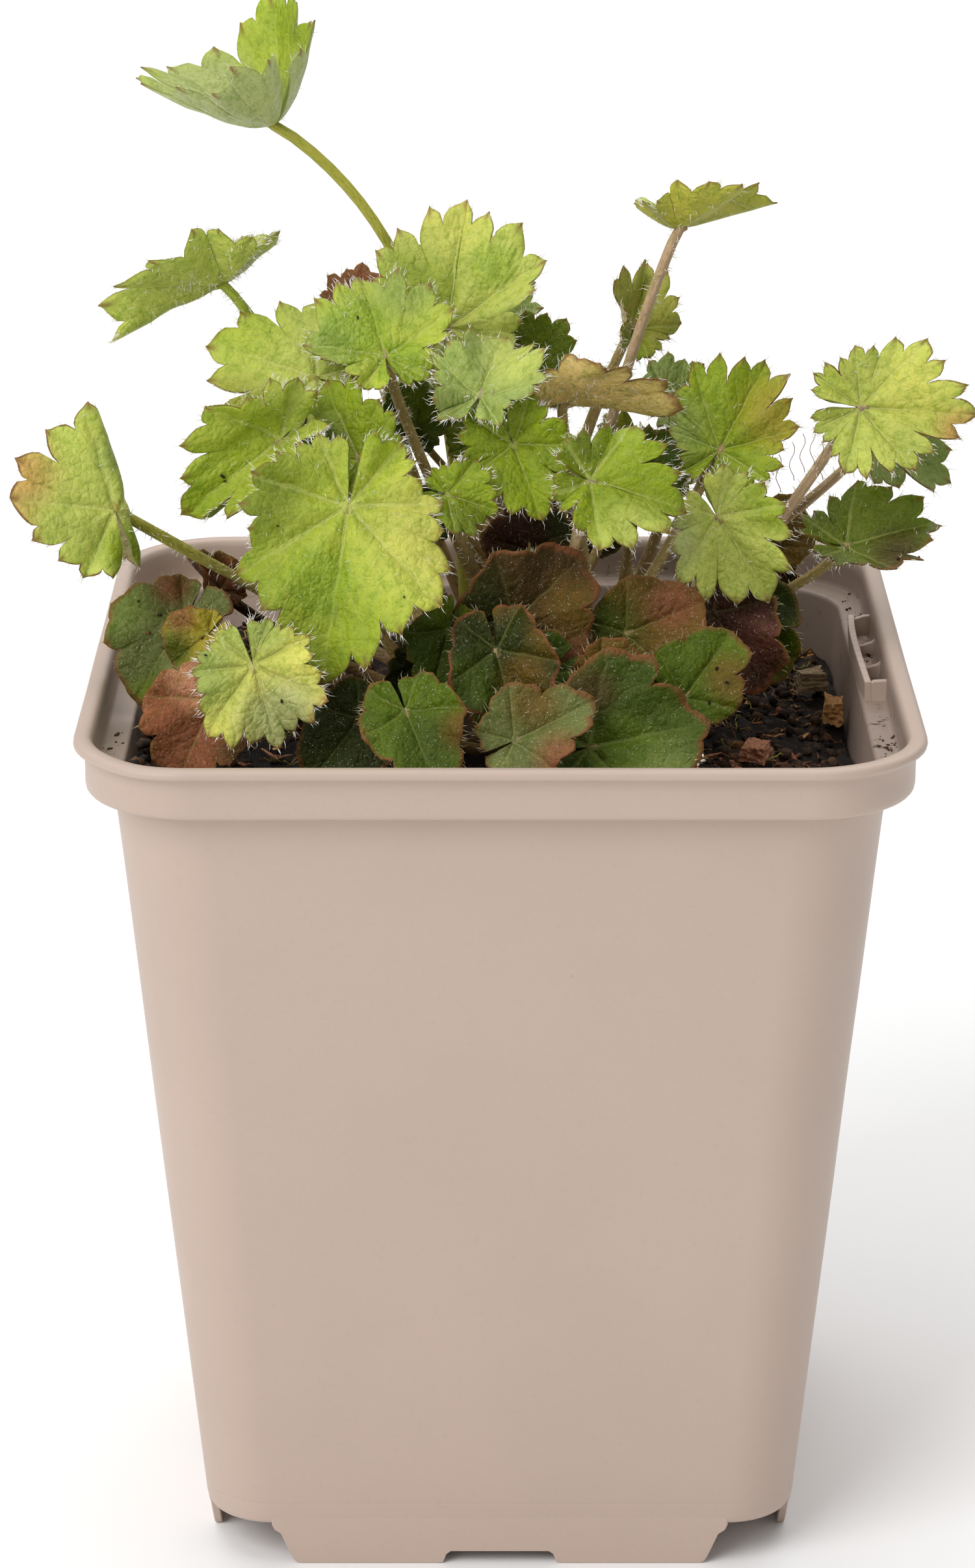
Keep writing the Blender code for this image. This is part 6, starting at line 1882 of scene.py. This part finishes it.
def photo_camera(settings):
    """The camera, where the photo was taken from."""
    lens = bpy.data.cameras.new("photo_camera")
    lens.lens = settings.lens
    lens.sensor_width = 36.0
    lens.clip_start = 0.01
    camera = bpy.data.objects.new("photo_camera", lens)
    camera.location = CAMERA_PLACE
    camera.rotation_euler = (math.radians(90 - CAMERA_TILT), 0, 0)
    bpy.context.scene.collection.objects.link(camera)
    return camera


class HEUCHERA_OT_stage(bpy.types.Operator):
    """Add the pale floor, the soft lights and the camera"""
    bl_idname = "heuchera.stage"
    bl_label = "Add Stage"

    def execute(self, context):
        scene = context.scene
        settings = scene.heuchera_stage
        mesh = bpy.data.meshes.new("floor")
        work = bmesh.new()
        bmesh.ops.create_grid(work, x_segments=8, y_segments=8, size=4.0)
        work.to_mesh(mesh)
        work.free()
        mesh.materials.append(floor_material(settings))
        floor = bpy.data.objects.new("floor", mesh)
        scene.collection.objects.link(floor)
        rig.stage(floor)
        for *light, power in LIGHTS:
            softbox(*light, getattr(settings, power))
        world = bpy.data.worlds.new("white_surround")
        world.use_nodes = True
        surround = world.node_tree.nodes["Background"].inputs
        surround["Color"].default_value = (1, 1, 1, 1)
        surround["Strength"].default_value = settings.sky
        scene.world = world
        scene.camera = photo_camera(settings)
        scene.view_settings.view_transform = "Standard"
        return {"FINISHED"}


class HEUCHERA_PT_panel(bpy.types.Panel):
    """The plant's pieces and settings"""
    bl_idname = "HEUCHERA_PT_panel"
    bl_label = "Heuchera"
    bl_space_type = "VIEW_3D"
    bl_region_type = "UI"
    bl_category = "Heuchera"

    def draw(self, context):
        for operator in OPERATORS:
            self.layout.operator(operator.bl_idname)
        for title, group in GROUPS.items():
            box = self.layout.box()
            for name in group.__annotations__:
                box.prop(getattr(context.scene, title), name)


OPERATORS = (HEUCHERA_OT_pot, HEUCHERA_OT_compost, HEUCHERA_OT_chips, HEUCHERA_OT_leaves, HEUCHERA_OT_hairs,
             HEUCHERA_OT_litter, HEUCHERA_OT_stage)
GROUPS = {"heuchera_colours": HeucheraColours, "heuchera_plant": HeucheraPlant, "heuchera_pot": HeucheraPot,
          "heuchera_soil": HeucheraSoil, "heuchera_stage": HeucheraStage}


def register():
    for kind in (*GROUPS.values(), *OPERATORS, HEUCHERA_PT_panel):
        bpy.utils.register_class(kind)
    for title, group in GROUPS.items():
        setattr(bpy.types.Scene, title, bpy.props.PointerProperty(type=group))


def unregister():
    for title in GROUPS:
        delattr(bpy.types.Scene, title)
    for kind in reversed((*GROUPS.values(), *OPERATORS, HEUCHERA_PT_panel)):
        bpy.utils.unregister_class(kind)


def main():
    register()
    bpy.ops.heuchera.pot()
    bpy.ops.heuchera.compost()
    bpy.ops.heuchera.chips()
    bpy.ops.heuchera.leaves()
    bpy.ops.heuchera.hairs()
    bpy.ops.heuchera.litter()
    bpy.ops.heuchera.stage()
    low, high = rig.bounds()
    sizes = {"frame": [list(FRAME_LOW), list(FRAME_HIGH)], "shown": [list(low), list(high)]}
    with open("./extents.json", "w") as file:
        json.dump(sizes, file, indent=1)


if __name__ == "__main__":
    main()
